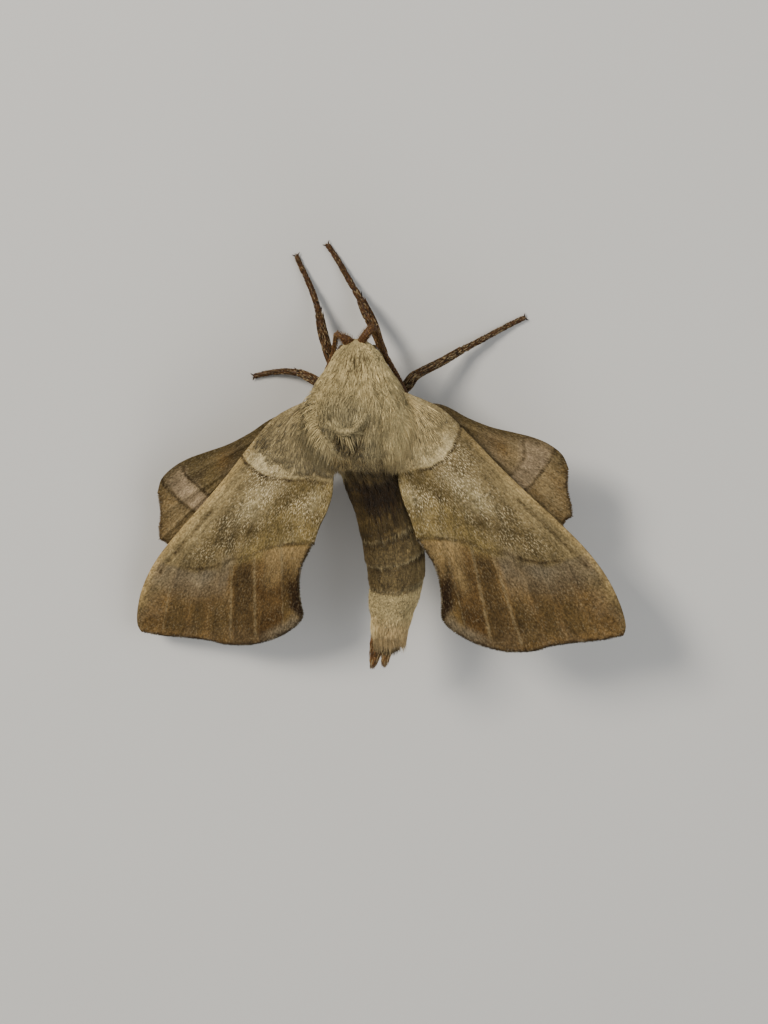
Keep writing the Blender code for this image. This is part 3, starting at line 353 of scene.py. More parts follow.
HIND_LINES = {
    "left": (((13.2, -6.2), (13.9, -4.2), (14.05, -2.2), (13.6, 0.0), (12.2, 2.5), (10.8, 5.2)),
             ((15.6, -6.6), (16.25, -5.3), (16.4, -3.6), (16.4, -1.5), (15.9, 1.2), (13.4, 5.8))),
    "right": (((10.4, -5.8), (11.15, -4.5), (12.3, -3.7), (12.7, -2.0), (12.0, 0.6), (10.0, 5.2)),
              ((13.5, -6.6), (14.1, -5.1), (14.7, -2.6), (14.6, 0.0), (13.6, 3.0), (12.2, 5.8))),
}
GRAIN_FROM = (-5.0, 1.5)
GRAIN_TURNS = 6.0

# Shoulder hair of each side: number of tufts, y of the first, and how far out it reaches
SHOULDERS = {"left": (6500, -3.2, 1.0), "right": (5000, -2.0, 0.6)}
SHOULDER_END = 3.6
SHOULDER_LOCKS = 499
SHOULDER_LOCK = (0.9, 0.12)
SHOULDER_DEGREES = (8, 60)
SHOULDER_OUT = ((-3.2, 0.5), (-1.2, 0.9), (0.8, 0.7), (3.6, 0.2))
SHOULDER_BACK = ((-3.2, 2.0), (-1.2, 2.6), (0.8, 2.8), (3.6, 1.2))

# Hair on the wing bases: where it is drawn in s and t, and (s, length) from the root out
BASE_HAIR_S = (-1.5, 9.0)
BASE_HAIR_T = (-2.0, 8.0)
BASE_HAIR_LENGTH = ((-1.5, 2.2), (2.0, 2.0), (4.5, 1.4), (8.0, 0.6))

# How each side's wings differ as the light falls on them: gains that paint one side lighter or darker as
# painted light and shade, and shares of a tint
WING_LOOK = {
    "left": {"basal_spot": (5.3, -0.5), "costa": 1.0, "base": 1.0, "base_rear": 0.4, "band": 1.0,
             "pink": 1.0, "wedge_start": 0.8, "hair": 1.05, "hair_share": 1.0,
             "hind": 0.45, "hind_blush": 0.0, "hind_ink": 1.0},
    "right": {"basal_spot": (3.7, -0.2), "costa": 0.6, "base": 1.3, "base_rear": 1.0, "band": 0.85,
              "pink": 0.85, "wedge_start": 1.8, "hair": 1.5, "hair_share": 0.4,
              "hind": 0.95, "hind_blush": 0.2, "hind_ink": 0.75},
}
SHINE = 0.22
WING_SHINE = 0.1
NOISE_SPAN = (0.3, 0.7)
CELL_SPAN = (0.2, 0.8)
FACET_SCALE = 16000.0
WING_SCALE = 9000.0

# Colours, as the light falls on them: coat
PALE_FUR = (0.43, 0.34, 0.165)
GREY_FUR = (0.31, 0.255, 0.135)
GOLD_FUR = (0.47, 0.335, 0.155)
TAN_FUR = (0.2, 0.145, 0.06)
OLIVE_FUR = (0.085, 0.056, 0.018)
LIGHT_OLIVE = (0.10625, 0.07, 0.0225)
LIGHT_PALE = (0.516, 0.408, 0.198)
UMBER_FUR = (0.034, 0.019, 0.005)
PAINTED_SHADE_FUR = (0.024, 0.0115, 0.0012)
RUST_FUR = (0.17, 0.08, 0.022)
FEELER_RUST = (0.19, 0.1, 0.03)
RUST_SKIN = (0.07, 0.03, 0.009)
CHITIN_BROWN = (0.05, 0.02, 0.008)
EYE_BLACK = (0.012, 0.007, 0.005)
EYE_BROWN = (0.045, 0.026, 0.014)
LEG_BROWN = (0.095, 0.046, 0.014)
LEG_PALE = (0.25, 0.185, 0.095)
LEG_DARK = (0.028, 0.014, 0.005)
PALE_SCALES = {"midleg_right": 0.5, "midleg_left": 0.35}
PALE_SHARE = 0.2
DARK_SHARE = 0.3

# Colours of the wings
BASE_TAN = (0.24, 0.185, 0.088)
BASE_PALE = (0.52, 0.42, 0.22)
BASE_BROWN = (0.155, 0.115, 0.05)
MEDIAN_TAN = (0.15, 0.11, 0.048)
MEDIAN_PALE = (0.33, 0.27, 0.14)
OCHRE = (0.25, 0.187, 0.085)
COSTA_GOLD = (0.31, 0.215, 0.085)
BROWN_GOLD = (0.145, 0.103, 0.034)
SMUDGE = (0.046, 0.031, 0.01)
PINK_GREY = (0.155, 0.123, 0.075)
PINK_TAN = (0.26, 0.19, 0.113)
ORANGE_BROWN = (0.107, 0.064, 0.022)
UMBER = (0.056, 0.029, 0.008)
WARM_TIP = (0.135, 0.09, 0.043)
HIND_TIP = (0.185, 0.13, 0.058)
DARK_OLIVE = (0.03, 0.018, 0.006)
DAWN_BROWN = (0.225, 0.152, 0.062)
DEEP_BROWN = (0.012, 0.0045, 0.001)
RUST = (0.205, 0.128, 0.04)
RAY_TAN = (0.2, 0.155, 0.08)
HIND_BROWN = (0.13, 0.09, 0.04)
# Colour of the painted glints on the wings' scales
PAINTED_GLINT = (0.78, 0.64, 0.38)
SPOT_REACH = (0.4, 0.5)

# Zones of colour, laid in order: (colour, strength, factors). A factor is (value,) as it stands,
# (value, start, end) for a fade in, (value, start, end, share) to take up to a share away by a fade,
# or ("patch", middle, reach) for a soft spot. On the trunk, top and right say how far a place faces
# upwards and to the right, and ring is its place by the abdomen's rings. On a wing, inner and outer are
# distances from its dark lines, and A to F from its rays. The tint functions make the other values.
THORAX_ZONES = (
    # Painted light and shade: the grey washes stay off the right side, which is left paler, and lie on the
    # left
    (GREY_FUR, 1.0, ("wash",), ("y", -4.2, -2.2), ("top", 0.55, 0.9), ("right", 0.6, 0.1)),
    (GREY_FUR, 0.25, ("y", -1.0, 1.5), ("right", 0.3, -0.3)),
    (TAN_FUR, 0.6, ("top", 0.2, -0.6), ("y", -5.0, -3.0)),
    (OLIVE_FUR, 0.9, ("fleck", 0.1, 0.5), ("y", -6.1, -5.7), ("y", -4.4, -5.0), ("top", 0.7, 0.9)),
    (PALE_FUR, 0.3, ("lip",)),
    # Painted shade in the trough behind the lip and in the hollows
    (OLIVE_FUR, 0.72, ("lip_shown",), ("behind_lip", 0.1, 0.4), ("behind_lip", 2.4, 1.4)),
    (PAINTED_SHADE_FUR, 1.0, ("hollow",)),
    (TAN_FUR, 1.0, ("blotch",), ("y", 1.6, 2.6), ("y", 5.8, 4.8), ("top", 0.2, 0.6)),
    (OLIVE_FUR, 1.0, ("y", 3.0, 4.3), ("y", 6.0, 5.0), ("top", 0.3, 0.7)),
)
ABDOMEN_ZONES = (
    (UMBER_FUR, 1.0, ("y", 4.6, 5.2)),
    (OLIVE_FUR, 0.5, ("y", 4.6, 5.2), ("top", 0.95, 0.7)),
    # Painted shadow over the top of the abdomen's base, under the thorax's rear fringe
    (PAINTED_SHADE_FUR, 0.95, ("y", 4.8, 5.5), ("y", 8.4, 6.9), ("top", 0.72, 0.95)),
    (LIGHT_OLIVE, 1.0, ("ring", 7.0, 8.8)),
    (TAN_FUR, 0.85, ("ring", 9.4, 13.4)),
    # Painted light on the right flank and painted shade on the left flank of the first rings
    (TAN_FUR, 0.4, ("right", 0.1, 0.8), ("ring", 8.0, 10.5)),
    (UMBER_FUR, 0.5, ("right", -0.3, -0.9), ("ring", 8.0, 10.5), ("top", -0.2, 0.3)),
    (UMBER_FUR, 0.5, ("speck", 0.15, 0.7), ("ring", 10.5, 11.5), ("ring", 17.0, 16.4)),
)
RING_ZONES = tuple(
    zone for end in SEGMENT_ENDS[1:4] for zone in (
        (GREY_FUR, 1.0, ("ring", end - 0.34, end - 0.08), ("ring", end + 0.05, end - 0.01), ("pale_ring",)),
        (UMBER_FUR, 1.0, ("ring", end - 0.01, end + 0.05), ("ring", end + 0.75, end + 0.12), ("dark_ring",)),
    )
)
TAIL_ZONES = (
    (LIGHT_PALE, 0.95, ("ring", SEGMENT_ENDS[3] - 0.1, SEGMENT_ENDS[3] + 0.5)),
    (GOLD_FUR, 0.85, ("y", 18.0, 19.4)),
    (BROWN_GOLD, 0.55, ("y", 9.0, 12.0), ("top", 0.0, -0.8), ("y", 20.0, 17.0)),
)
FOREWING_ZONES = (
    (BROWN_GOLD, 0.85, ("t", 2.4, 4.2)),
    (MEDIAN_PALE, 1.0, ("median_glow",)),
    (SMUDGE, 1.0, ("smudging",)),
    (SMUDGE, 0.95, ("patch", (13.9, 3.0), (1.0, 0.75))),
    (SMUDGE, 0.7, ("patch", (16.0, 2.2), (1.7, 1.0))),
    (SMUDGE, 0.6, ("patch", (18.0, 0.5), (2.0, 0.8))),
    (SMUDGE, 0.4, ("patch", (9.6, 3.9), (1.3, 0.6))),
    (SMUDGE, 0.45, ("patch", (14.9, 0.4), (1.2, 0.7))),
    (PINK_GREY, 0.6, ("patch", (18.0, 3.1), (0.9, 0.6))),
)
FOREWING_BASE_ZONES = (
    (BASE_PALE, 1.0, ("base_glow",)),
    (BASE_PALE, 0.75, ("base",), ("patch", (5.2, 2.6), (1.8, 1.3)), ("base_rear",)),
    (BASE_BROWN, 0.7, ("base",), ("t", 0.1, -0.9), ("s", 8.4, 6.5)),
    (BASE_BROWN, 0.5, ("base",), ("t", 3.9, 5.2)),
    (SMUDGE, 0.7, ("basal_spot",)),
    (OCHRE, 0.95, ("t", 0.7, -0.9), ("s", 8.2, 10.0), ("s", 16.0, 21.0, 0.5), ("costa_glow",)),
    (ORANGE_BROWN, 1.0, ("outer", -0.2, 0.5), ("t", 0.3, -1.2, 0.55), ("outer", -0.2, 1.2)),
)
FOREWING_OUTER_ZONES = (
    (WARM_TIP, 0.4, ("outer", -0.2, 0.5), ("bloom", 0.0, 0.6), ("s", 21.5, 24.0)),
    *((SMUDGE, 0.45, (ahead, 0.0, -0.6), (behind, 0.0, 0.6), ("outer", 2.6, 4.6), ("margin", 0.2, 1.2))
      for ahead, behind in ("AB", "BC", "CD")),
    (DARK_OLIVE, 0.8, ("D", 0.2, -0.6), ("E", -0.2, 0.6), ("outer", -0.2, 1.8), ("margin", 4.8, 1.6, 0.6875),
     ("band",)),
    (UMBER, 0.9, ("E", 0.1, -0.5), ("wedge", 0.0, 3.0)),
    (ORANGE_BROWN, 0.4, ("E", 0.1, -0.5), ("wedge", 0.0, 3.0), ("wash", -0.3, 0.5), ("margin", 0.3, 1.4)),
    (RUST, 0.85, ("F", 0.15, -0.5), ("outer", -0.2, 0.5)),
    (ORANGE_BROWN, 0.6, ("F", 0.15, -0.5), ("outer", -0.2, 0.5), ("mottle", 0.0, 0.5)),
    (DAWN_BROWN, 0.8, ("outer", 0.0, 0.5), ("wedge", 3.4, 1.4), ("E", -0.4, -1.6), ("dawn",)),
    (DEEP_BROWN, 0.95, ("margin", 2.3, 0.5), ("F", 0.9, -0.2), ("s", 13.6, 16.4), ("s", 19.1, 18.2)),
    (PINK_GREY, 0.8, ("margin", 1.3, 0.4), ("s", 18.2, 19.1), ("s", 25.0, 20.5)),
    (COSTA_GOLD, 0.65, ("costa", 0.7, 0.2), ("s", 5.0, 8.0), ("s", 30.0, 26.0)),
)
HINDWING_ZONES = (
    (BROWN_GOLD, 0.3, ("wash", -0.2, 0.6)),
    (PINK_TAN, 1.0, ("hind_blush",), ("s", 7.0, 10.0)),
    (PINK_TAN, 1.0, ("pink",), ("inner", -0.7, 0.6), ("outer", 0.3, -0.5)),
    (HIND_TIP, 0.9, ("outer", -0.4, 0.6)),
    (ORANGE_BROWN, 0.4, ("bloom", 0.0, 0.6), ("outer", -0.2, 0.4)),
    (ORANGE_BROWN, 0.85, ("patch", (10.1, -2.8), (1.1, 0.6))),
    (SMUDGE, 0.55, ("patch", (15.2, -5.6), (1.1, 0.7))),
    (SMUDGE, 0.75, ("costa", 0.9, 0.15)),
    (ORANGE_BROWN, 0.4, ("margin", 1.4, 0.4)),
)

# Pale areas of the forewing, as (strength, middle, reach), and the one at its base
MEDIAN_GLOWS = ((1.0, (11.2, 2.0), (2.6, 1.2)), (0.7, (8.0, 5.9), (1.6, 1.0)), (0.6, (13.2, 6.6), (1.6, 0.6)))
BASE_GLOW_PATCH = ((7.6, 0.2), (1.5, 1.2))

# Where painted glints show on the forewing's scales, as (strength, factors), and the dark spot that has few
# of them
FOREWING_GLINTS = (
    (0.22, ("outer", 0.5, -1.5), ("inner", -0.5, 0.5), ("t", -1.0, 1.0)),
    (0.5, ("patch", (11.5, 2.0), (3.0, 1.1))),
    (0.45, ("patch", (7.6, 0.8), (1.8, 1.4))),
    (0.35, ("patch", (8.6, 5.4), (2.2, 1.1))),
    (0.2, ("inner", 0.2, -1.0)),
)
GLINT_SHADOW = ((13.9, 3.0), (0.9, 0.7))

# Camera, in the moth's millimetres, and light and floor in metres: lights as (place, size, power, colour)
CAMERA_AT = (-0.70, -45.19, 142.26)
CAMERA_TILT = 20.0
CAMERA_LENS = 56.0
CAMERA_SENSOR = 36.0
CAMERA_CLIP = (0.005, 20.0)
LIGHTS = {
    "key": ((0.33, -0.30, 0.33), 0.15, 3.4, (1.0, 0.94, 0.85)),
    "fill": ((-0.35, -0.1, 0.4), 0.4, 1.0, (0.93, 0.96, 1.0)),
    "rim": ((-0.1, 0.45, 0.25), 0.3, 0.7, (1.0, 0.97, 0.93)),
}
SKY = (0.95, 0.97, 1.0, 1.0)
SKY_STRENGTH = 0.35
HAZE_SPAN = (0.1, 0.32)
FLOOR_PALE = (0.62, 0.61, 0.58, 1.0)
FLOOR_DARK = (0.58, 0.57, 0.54, 1.0)
FLOOR_REACH = 1.5

CLOUD_CELLS = 64
CLOUD = np.random.default_rng(SEED).uniform(-1, 1, (CLOUD_CELLS, CLOUD_CELLS))
rng = np.random.default_rng(SEED)


# Curves through stations
def hermite(p, a, b, q, t):
    """Catmull-Rom value between a and b."""
    bend = (2 * p - 5 * a + 4 * b - q) * t ** 2
    turn = (3 * a - p - 3 * b + q) * t ** 3
    return 0.5 * (2 * a + (b - p) * t + bend + turn)


def eased(stations, at):
    """Every value of the stations at the places asked for, on a smooth curve through them."""
    table = np.array(stations, float)
    at = np.asarray(at, float)
    last = len(table) - 1
    i = np.clip(np.searchsorted(table[:, 0], at) - 1, 0, last - 1)
    before, a, b, after = (table[np.clip(i + k, 0, last)] for k in (-1, 0, 1, 2))
    t = np.clip((at - a[..., 0]) / (b[..., 0] - a[..., 0]), 0, 1)
    return [hermite(before[..., n], a[..., n], b[..., n], after[..., n], t) for n in range(1, table.shape[1])]


def resampled(points, step):
    """Points about a step apart along a line, eased through its own points."""
    line = np.array(points, float)
    last = len(line) - 1
    out = []
    for i in range(last):
        before, a, b, after = (line[min(max(k, 0), last)] for k in (i - 1, i, i + 1, i + 2))
        pieces = max(1, round(float(np.linalg.norm(b - a)) / step))
        out += [hermite(before, a, b, after, k / pieces) for k in range(pieces)]
    out.append(line[-1])
    return np.array(out)


def fade(value, start, end):
    """Nothing at the start, one at the end and smooth between, for falling values too."""
    share = np.clip((value - start) / (end - start), 0, 1)
    return share * share * (3 - 2 * share)


def unit(rows):
    """Rows brought to length one."""
    return rows / np.maximum(np.linalg.norm(rows, axis=-1, keepdims=True), 1e-9)


def signed_distance(points, line):
    """Distance from a line, above nothing on its right-hand side and below nothing on its left."""
    nearest = np.full(len(points), FAR)
    side = np.ones(len(points))
    line = np.array(line, float)
    for a, b in zip(line, line[1:]):
        run = b - a
        share = np.clip(((points - a) @ run) / max(run @ run, 1e-9), 0, 1)
        off = points - a - share[:, None] * run
        far = np.linalg.norm(off, axis=1)
        closer = far < nearest
        nearest = np.where(closer, far, nearest)
        side = np.where(closer, np.where(run[0] * off[:, 1] > run[1] * off[:, 0], -1, 1), side)
    return nearest * side


def nearest_distance(points, lines):
    """Distance from the nearest of several lines."""
    return np.min([np.abs(signed_distance(points, line)) for line in lines], axis=0)


def paint(colour, mask, tint):
    """Lays a tint over a colour by a mask."""
    return colour + np.asarray(mask)[:, None] * (np.array(tint) - colour)


def patch(points, at, reach):
    """Full at a place and fading away over a reach each way."""
    return np.exp(-(((points - np.array(at)) / np.array(reach)) ** 2).sum(1))


def masked(values, strength, factors):
    """How strongly a zone shows at each point, by its factors over the named values there."""
    mask = strength
    for name, *ends in factors:
        if name == "patch":
            mask = mask * patch(values["place"], *ends)
        elif len(ends) == 3:
            mask = mask * (1 - ends[2] * fade(values[name], *ends[:2]))
        elif ends:
            mask = mask * fade(values[name], *ends)
        else:
            mask = mask * values[name]
    return mask


def zoned(colour, values, zones):
    """A colour with all zones laid over it in order."""
    for tint, strength, *factors in zones:
        colour = paint(colour, masked(values, strength, factors), tint)
    return colour


def cloud(points, size, layer=0):
    """Smooth random swings between -1 and 1 over a plane; size is the width of one, or one for each way."""
    at = points / np.array(size) + 7.31 * layer
    cell = np.floor(at).astype(int)
    share = at - cell
    share = share * share * (3 - 2 * share)
    i, j = (cell % CLOUD_CELLS).T
    next_i, next_j = (i + 1) % CLOUD_CELLS, (j + 1) % CLOUD_CELLS
    low = CLOUD[i, j] + (CLOUD[next_i, j] - CLOUD[i, j]) * share[:, 0]
    high = CLOUD[i, next_j] + (CLOUD[next_i, next_j] - CLOUD[i, next_j]) * share[:, 0]
    return low + (high - low) * share[:, 1]


# Meshes
def new_piece(name, points, faces, material, shares=None, spread=None):
    """A mesh piece from points in millimetres, corner numbers, point values and a map for the coat."""
    mesh = bpy.data.meshes.new(name)
    mesh.vertices.add(len(points))
    mesh.vertices.foreach_set("co", ((points + BODY_AT) * MM).astype(np.float32).ravel())
    mesh.loops.add(faces.size)
    mesh.loops.foreach_set("vertex_index", faces.astype(np.int32).ravel())
    mesh.polygons.add(len(faces))
    mesh.polygons.foreach_set("loop_start", np.arange(0, faces.size, faces.shape[1], dtype=np.int32))
    mesh.update(calc_edges=True)
    for label, values in (shares or {}).items():
        if values.ndim == 2:
            layer = mesh.attributes.new(label, "FLOAT_VECTOR", "POINT")
            layer.data.foreach_set("vector", values.astype(np.float32).ravel())
        else:
            layer = mesh.attributes.new(label, "FLOAT", "POINT")
            layer.data.foreach_set("value", values.astype(np.float32).ravel())
    if spread is not None:
        layer = mesh.uv_layers.new(name="OFBake")
        layer.data.foreach_set("uv", spread[faces.ravel()].astype(np.float32).ravel())
    mesh.validate()
    mesh.shade_smooth()
    mesh.materials.append(material)
    piece = bpy.data.objects.new(name, mesh)
    bpy.context.scene.collection.objects.link(piece)
    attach(piece, "root")
    return piece


def grid_faces(rings, sides):
    """Square faces of a tube of rings, each joined to the next."""
    r, k = np.meshgrid(np.arange(rings - 1), np.arange(sides), indexing="ij")
    a = r * sides + k
    b = r * sides + (k + 1) % sides
    return np.stack([a, b, b + sides, a + sides], -1).reshape(-1, 4)


def capped_tube(rings, sides):
    """Faces of a tube of rings closed at both ends by a hub; the two hubs follow the rings' points."""
    quads = grid_faces(rings, sides)
    k = np.arange(sides)
    after = (k + 1) % sides
    start = (rings - 1) * sides
    front = np.stack([after, k, np.full_like(k, rings * sides)], -1)
    back = np.stack([start + k, start + after, np.full_like(k, rings * sides + 1)], -1)
    return np.concatenate([quads[:, [0, 1, 2]], quads[:, [0, 2, 3]], front, back])


# Tufts: thin tapered three-sided blades
def tuft_pattern():
    """Corner numbers of one tuft: rings of three points and a tip."""
    faces = [(0, 1, 2)]
    for ring in range(len(TUFT_RINGS) - 1):
        for k in range(3):
            a, b = ring * 3 + k, ring * 3 + (k + 1) % 3
            faces += [(a, a + 3, b + 3), (a, b + 3, b)]
    start = (len(TUFT_RINGS) - 1) * 3
    tip = len(TUFT_RINGS) * 3
    faces += [(start + k, tip, start + (k + 1) % 3) for k in range(3)]
    return np.array(faces)


TUFT_FACES = tuft_pattern()
TUFT_POINTS = len(TUFT_RINGS) * 3 + 1


def tufts(roots, middles, tips, outward, widths, thickness):
    """Points and faces of many tufts, each on a bent line from its root to its tip."""
    count = len(roots)
    made = np.empty((count, TUFT_POINTS, 3))
    half = np.broadcast_to(widths, count)[:, None] / 2
    for ring, (share, size) in enumerate(TUFT_RINGS):
        at = roots * (1 - share) ** 2 + middles * 2 * share * (1 - share) + tips * share ** 2
        along = unit((middles - roots) * (1 - share) + (tips - middles) * share)
        across = unit(np.cross(along, outward))
        up = np.cross(across, along)
        made[:, ring * 3] = at + across * half * size
        made[:, ring * 3 + 1] = at + up * half * size * thickness * 2
        made[:, ring * 3 + 2] = at - across * half * size
    made[:, -1] = tips
    faces = (TUFT_FACES[None] + (np.arange(count) * TUFT_POINTS)[:, None, None]).reshape(-1, 3)
    return made.reshape(-1, 3), faces


def tuft_spread(places):
    """The coat's map: each tuft a small patch at its root's place on the skin's own unwrap."""
    local = np.array([(k / 2, share) for share, _ in TUFT_RINGS for k in range(3)] + [(0.5, 1.0)])
    return (places[:, None, :] + local[None] * PATCH).reshape(-1, 2)


def tuft_tint(tints):
    """Colour at each point of each tuft: painted shade at its root and painted light at its tip."""
    shares = np.array([share for share, _ in TUFT_RINGS for _ in range(3)] + [1.0])
    shade = ROOT_SHADE + (TIP_SHADE - ROOT_SHADE) * np.sqrt(shares)
    return (tints[:, None, :] * shade[None, :, None]).reshape(-1, 3)


def tuft_piece(name, material, slot, roots, middles, tips, outward, widths, tints, places, thickness=0.5):
    """One piece of many tufts, each with its own tint and place on the map."""
    points, faces = tufts(roots, middles, tips, outward, widths, thickness)
    new_piece(name, points, faces, material, {"tint": tuft_tint(tints)}, tuft_spread(places))


def varied(tint, amount, count):
    """One tint, or a row of them, with each tuft's a little lighter or darker."""
    return np.array(tint) * (1 + amount * rng.normal(size=(count, 1))).clip(0.4, 1.7)


# Trunk surface
def trunk_point(y, angle):
    """Points on the skin, by their place along the trunk and their angle round it from the left side."""
    y, angle = np.broadcast_arrays(np.asarray(y, float), np.asarray(angle, float))
    x, z, half, low, high = eased(TRUNK_STATIONS, y)
    ahead_x, ahead_z = eased(TRUNK_STATIONS, y + SKIN_STEP)[:2]
    lean = np.clip((y - WAIST_Y) / WAIST_LENGTH, 0, 1)
    along = unit(np.stack([(ahead_x - x) * lean, np.full_like(y, SKIN_STEP), (ahead_z - z) * lean], -1))
    across = unit(np.cross(along, UP))
    up = np.cross(across, along)
    swell = segment_swell(y, angle) + thorax_relief(y, angle)
    rise = np.sin(angle)
    reach = np.where(rise > 0, high - z, z - low) + swell
    offset = across * ((half + swell) * np.cos(angle))[..., None] + up * (reach * rise)[..., None]
    return np.stack([x, y, z], -1) + offset


def segment_place(y, angle):
    """The place along the abdomen by its rings, which reach further back on the left flank."""
    right = -np.cos(angle)
    return y + SEGMENT_LEAN[0] + SEGMENT_LEAN[1] * right + SEGMENT_LEAN[2] * right ** 2


def segment_swell(y, angle):
    """Each abdominal ring widens rearwards and steps in at its end."""
    place = segment_place(y, angle)
    swell = np.zeros_like(y)
    start = WAIST_Y
    for end in SEGMENT_ENDS:
        share = (place - start) / (end - start)
        swell = np.where((share >= 0) & (share < 1), SEGMENT_STEP * (share - SEGMENT_NEUTRAL), swell)
        start = end
    return swell


def lip_edge(angle):
    """Where the thorax's lip ends along y at an angle round the trunk, and how much of it shows there."""
    degrees = np.degrees(angle) % 360
    shown = fade(degrees, *LIP_SPAN[:2]) * fade(degrees, *LIP_SPAN[2:])
    return eased(LIP, degrees)[0], shown


def hollow_masks(y, angle):
    """Each hollow's depth and how fully it shows at a place."""
    degrees = np.degrees(angle) % 360
    for at_y, at_degrees, depth, reach, spread in HOLLOWS:
        yield depth, np.exp(-((y - at_y) / reach) ** 2 - ((degrees - at_degrees) / spread) ** 2)


def thorax_relief(y, angle):
    """Height of the lip and depth of the hollows behind it."""
    edge, shown = lip_edge(angle)
    behind = y - edge
    height = LIP_HEIGHT * np.exp(-((behind - LIP_CREST_AT) / LIP_CREST_WIDTH) ** 2)
    height = height - LIP_DROP * fade(behind, *LIP_FALL) * fade(behind, *LIP_RUNOUT)
    height = height * shown
    for depth, mask in hollow_masks(y, angle):
        height = height - depth * mask
    return height


def trunk_normal(y, angle):
    """The way outwards from the skin, and how far a step along y and a step round it carry."""
    step = NORMAL_STEP
    lengthwise = (trunk_point(y + step, angle) - trunk_point(y - step, angle)) / (2 * step)
    round_it = (trunk_point(y, angle + step) - trunk_point(y, angle - step)) / (2 * step)
    outward = unit(np.cross(round_it, lengthwise)) * -1
    return outward, np.linalg.norm(lengthwise, axis=-1), np.linalg.norm(round_it, axis=-1)


def trunk_place(y, angle):
    """Where a point of the trunk lies on its unwrap: round it across, and along it upwards."""
    across = (angle / (2 * np.pi)) % 1.0
    return np.stack([across, (y - TRUNK_FRONT) / (TRUNK_REAR - TRUNK_FRONT)], -1) * SKIN_UNWRAP


# Trunk markings with painted light and shade, shared by skin and coat
def trunk_tint(y, angle):
    """Colour of the coat: pale thorax, painted shade in the hollows behind its lip, olive rings and a golden
    tail.
    """
    top = np.sin(angle)
    right = -np.cos(angle)
    ring = segment_place(y, angle)
    place = np.stack([y, 4 * np.sin(angle) + 3 * np.cos(angle)], -1)
    edge, shown = lip_edge(angle)
    # Painted shade in the hollows: how much of each one's darkness falls at a place
    clear = 1.0
    for _, mask in hollow_masks(y, angle):
        clear = clear * (1 - HOLLOW_SHADE * mask)
    values = {
        "y": y, "top": top, "right": right, "ring": ring,
        "wash": 0.62 + 0.3 * cloud(place, 1.6, 1),
        "blotch": 0.75 + 0.25 * cloud(place, (0.8, 0.5), 3),
        "fleck": cloud(np.stack([y, angle * 3.2], -1), (0.42, 0.1), 2),
        "speck": cloud(np.stack([y, angle * 2.6], -1), (0.35, 0.16), 5),
        "behind_lip": y - edge,
        "lip_shown": shown,
        "lip": np.exp(-((y - edge + 0.1) / 0.22) ** 2) * shown,
        "hollow": 1 - clear,
        "pale_ring": 0.35 + 0.3 * fade(right, 0.0, 0.9),
        "dark_ring": 0.4 + 0.45 * fade(right, 0.0, 0.7),
    }
    # Painted light: the trunk's upper right side lighter
    lit = 1 + 0.4 * fade(right, 0.25, 0.75) * fade(top, 0.0, 0.4)
    zones = THORAX_ZONES + ABDOMEN_ZONES + RING_ZONES + TAIL_ZONES
    return zoned(np.array(PALE_FUR) * lit[:, None], values, zones)


# Materials
def new_material(name, roughness, sheen=0.0):
    made = bpy.data.materials.new(name)
    made.use_nodes = True
    shader = made.node_tree.nodes["Principled BSDF"]
    shader.inputs["Roughness"].default_value = roughness
    shader.inputs["Specular IOR Level"].default_value = SHINE
    shader.inputs["Sheen Weight"].default_value = sheen
    shader.inputs["Sheen Roughness"].default_value = 0.4
    return made, made.node_tree, shader


def node(tree, kind, output, inputs, **settings):
    """One output of a new shader node, with its settings made and its inputs linked or set."""
    made = tree.nodes.new("ShaderNode" + kind)
    for key, value in settings.items():
        setattr(made, key, value)
    for socket, value in inputs.items():
        if isinstance(value, bpy.types.NodeSocket):
            tree.links.new(value, made.inputs[socket])
        else:
            made.inputs[socket].default_value = value
    return made.outputs[output]


def attribute(tree, name, output="Vector"):
    return node(tree, "Attribute", output, {}, attribute_name=name)


def noise(tree, vector, scale, detail=2.0, rough=0.5):
    inputs = {"Vector": vector, "Scale": scale, "Detail": detail, "Roughness": rough}
    return node(tree, "TexNoise", "Fac", inputs)


def cells(tree, vector, scale, output="Color"):
    return node(tree, "TexVoronoi", output, {"Vector": vector, "Scale": scale})


def stretch(tree, vector, factors):
    """A vector with each part scaled on its own."""
    return node(tree, "Mapping", "Vector", {"Vector": vector, "Scale": factors})


def place_in(tree):
    return node(tree, "TexCoord", "Object", {})


def span(tree, value, low, high, to_low, to_high):
    """Maps one range of a value onto another, held at both ends."""
    inputs = {"Value": value, "From Min": low, "From Max": high, "To Min": to_low, "To Max": to_high}
    return node(tree, "MapRange", "Result", inputs)


def combine(tree, operation, a, b):
    """Arithmetic on a value and a value or number."""
    return node(tree, "Math", "Value", {0: a, 1: b}, operation=operation)


def layered(tree, colour, mask, tint):
    """A colour with a tint laid over it where the mask is high."""
    return node(tree, "Mix", "Result", {"Factor": mask, "A": colour, "B": (*tint, 1.0)}, data_type="RGBA")


def shaded(tree, colour, value):
    """A colour made lighter or darker by a value."""
    return node(tree, "VectorMath", "Vector", {"Vector": colour, "Scale": value}, operation="SCALE")


def bumped(tree, shader, height, strength, depth):
    normal = node(tree, "Bump", "Normal", {"Strength": strength, "Distance": depth * MM, "Height": height})
    tree.links.new(normal, shader.inputs["Normal"])


def rippled(tree, vector, scale, swing, detail=2.0, rough=0.5):
    """Noise that swings round one by a share each way."""
    return span(tree, noise(tree, vector, scale, detail, rough), *NOISE_SPAN, 1 - swing, 1 + swing)


def fur_material(name, roughness=0.8, sheen=0.04):
    """Hair whose tint comes with each tuft, mottled finely across it."""
    made, tree, shader = new_material(name, roughness, sheen)
    at = place_in(tree)
    mottle = rippled(tree, at, 900.0, 0.14)
    grain = rippled(tree, at, 6000.0, 0.15)
    shade = combine(tree, "MULTIPLY", mottle, grain)
    tree.links.new(shaded(tree, attribute(tree, "tint"), shade), shader.inputs["Base Color"])
    bumped(tree, shader, noise(tree, at, 9000.0), 0.4, 0.02)
    return made


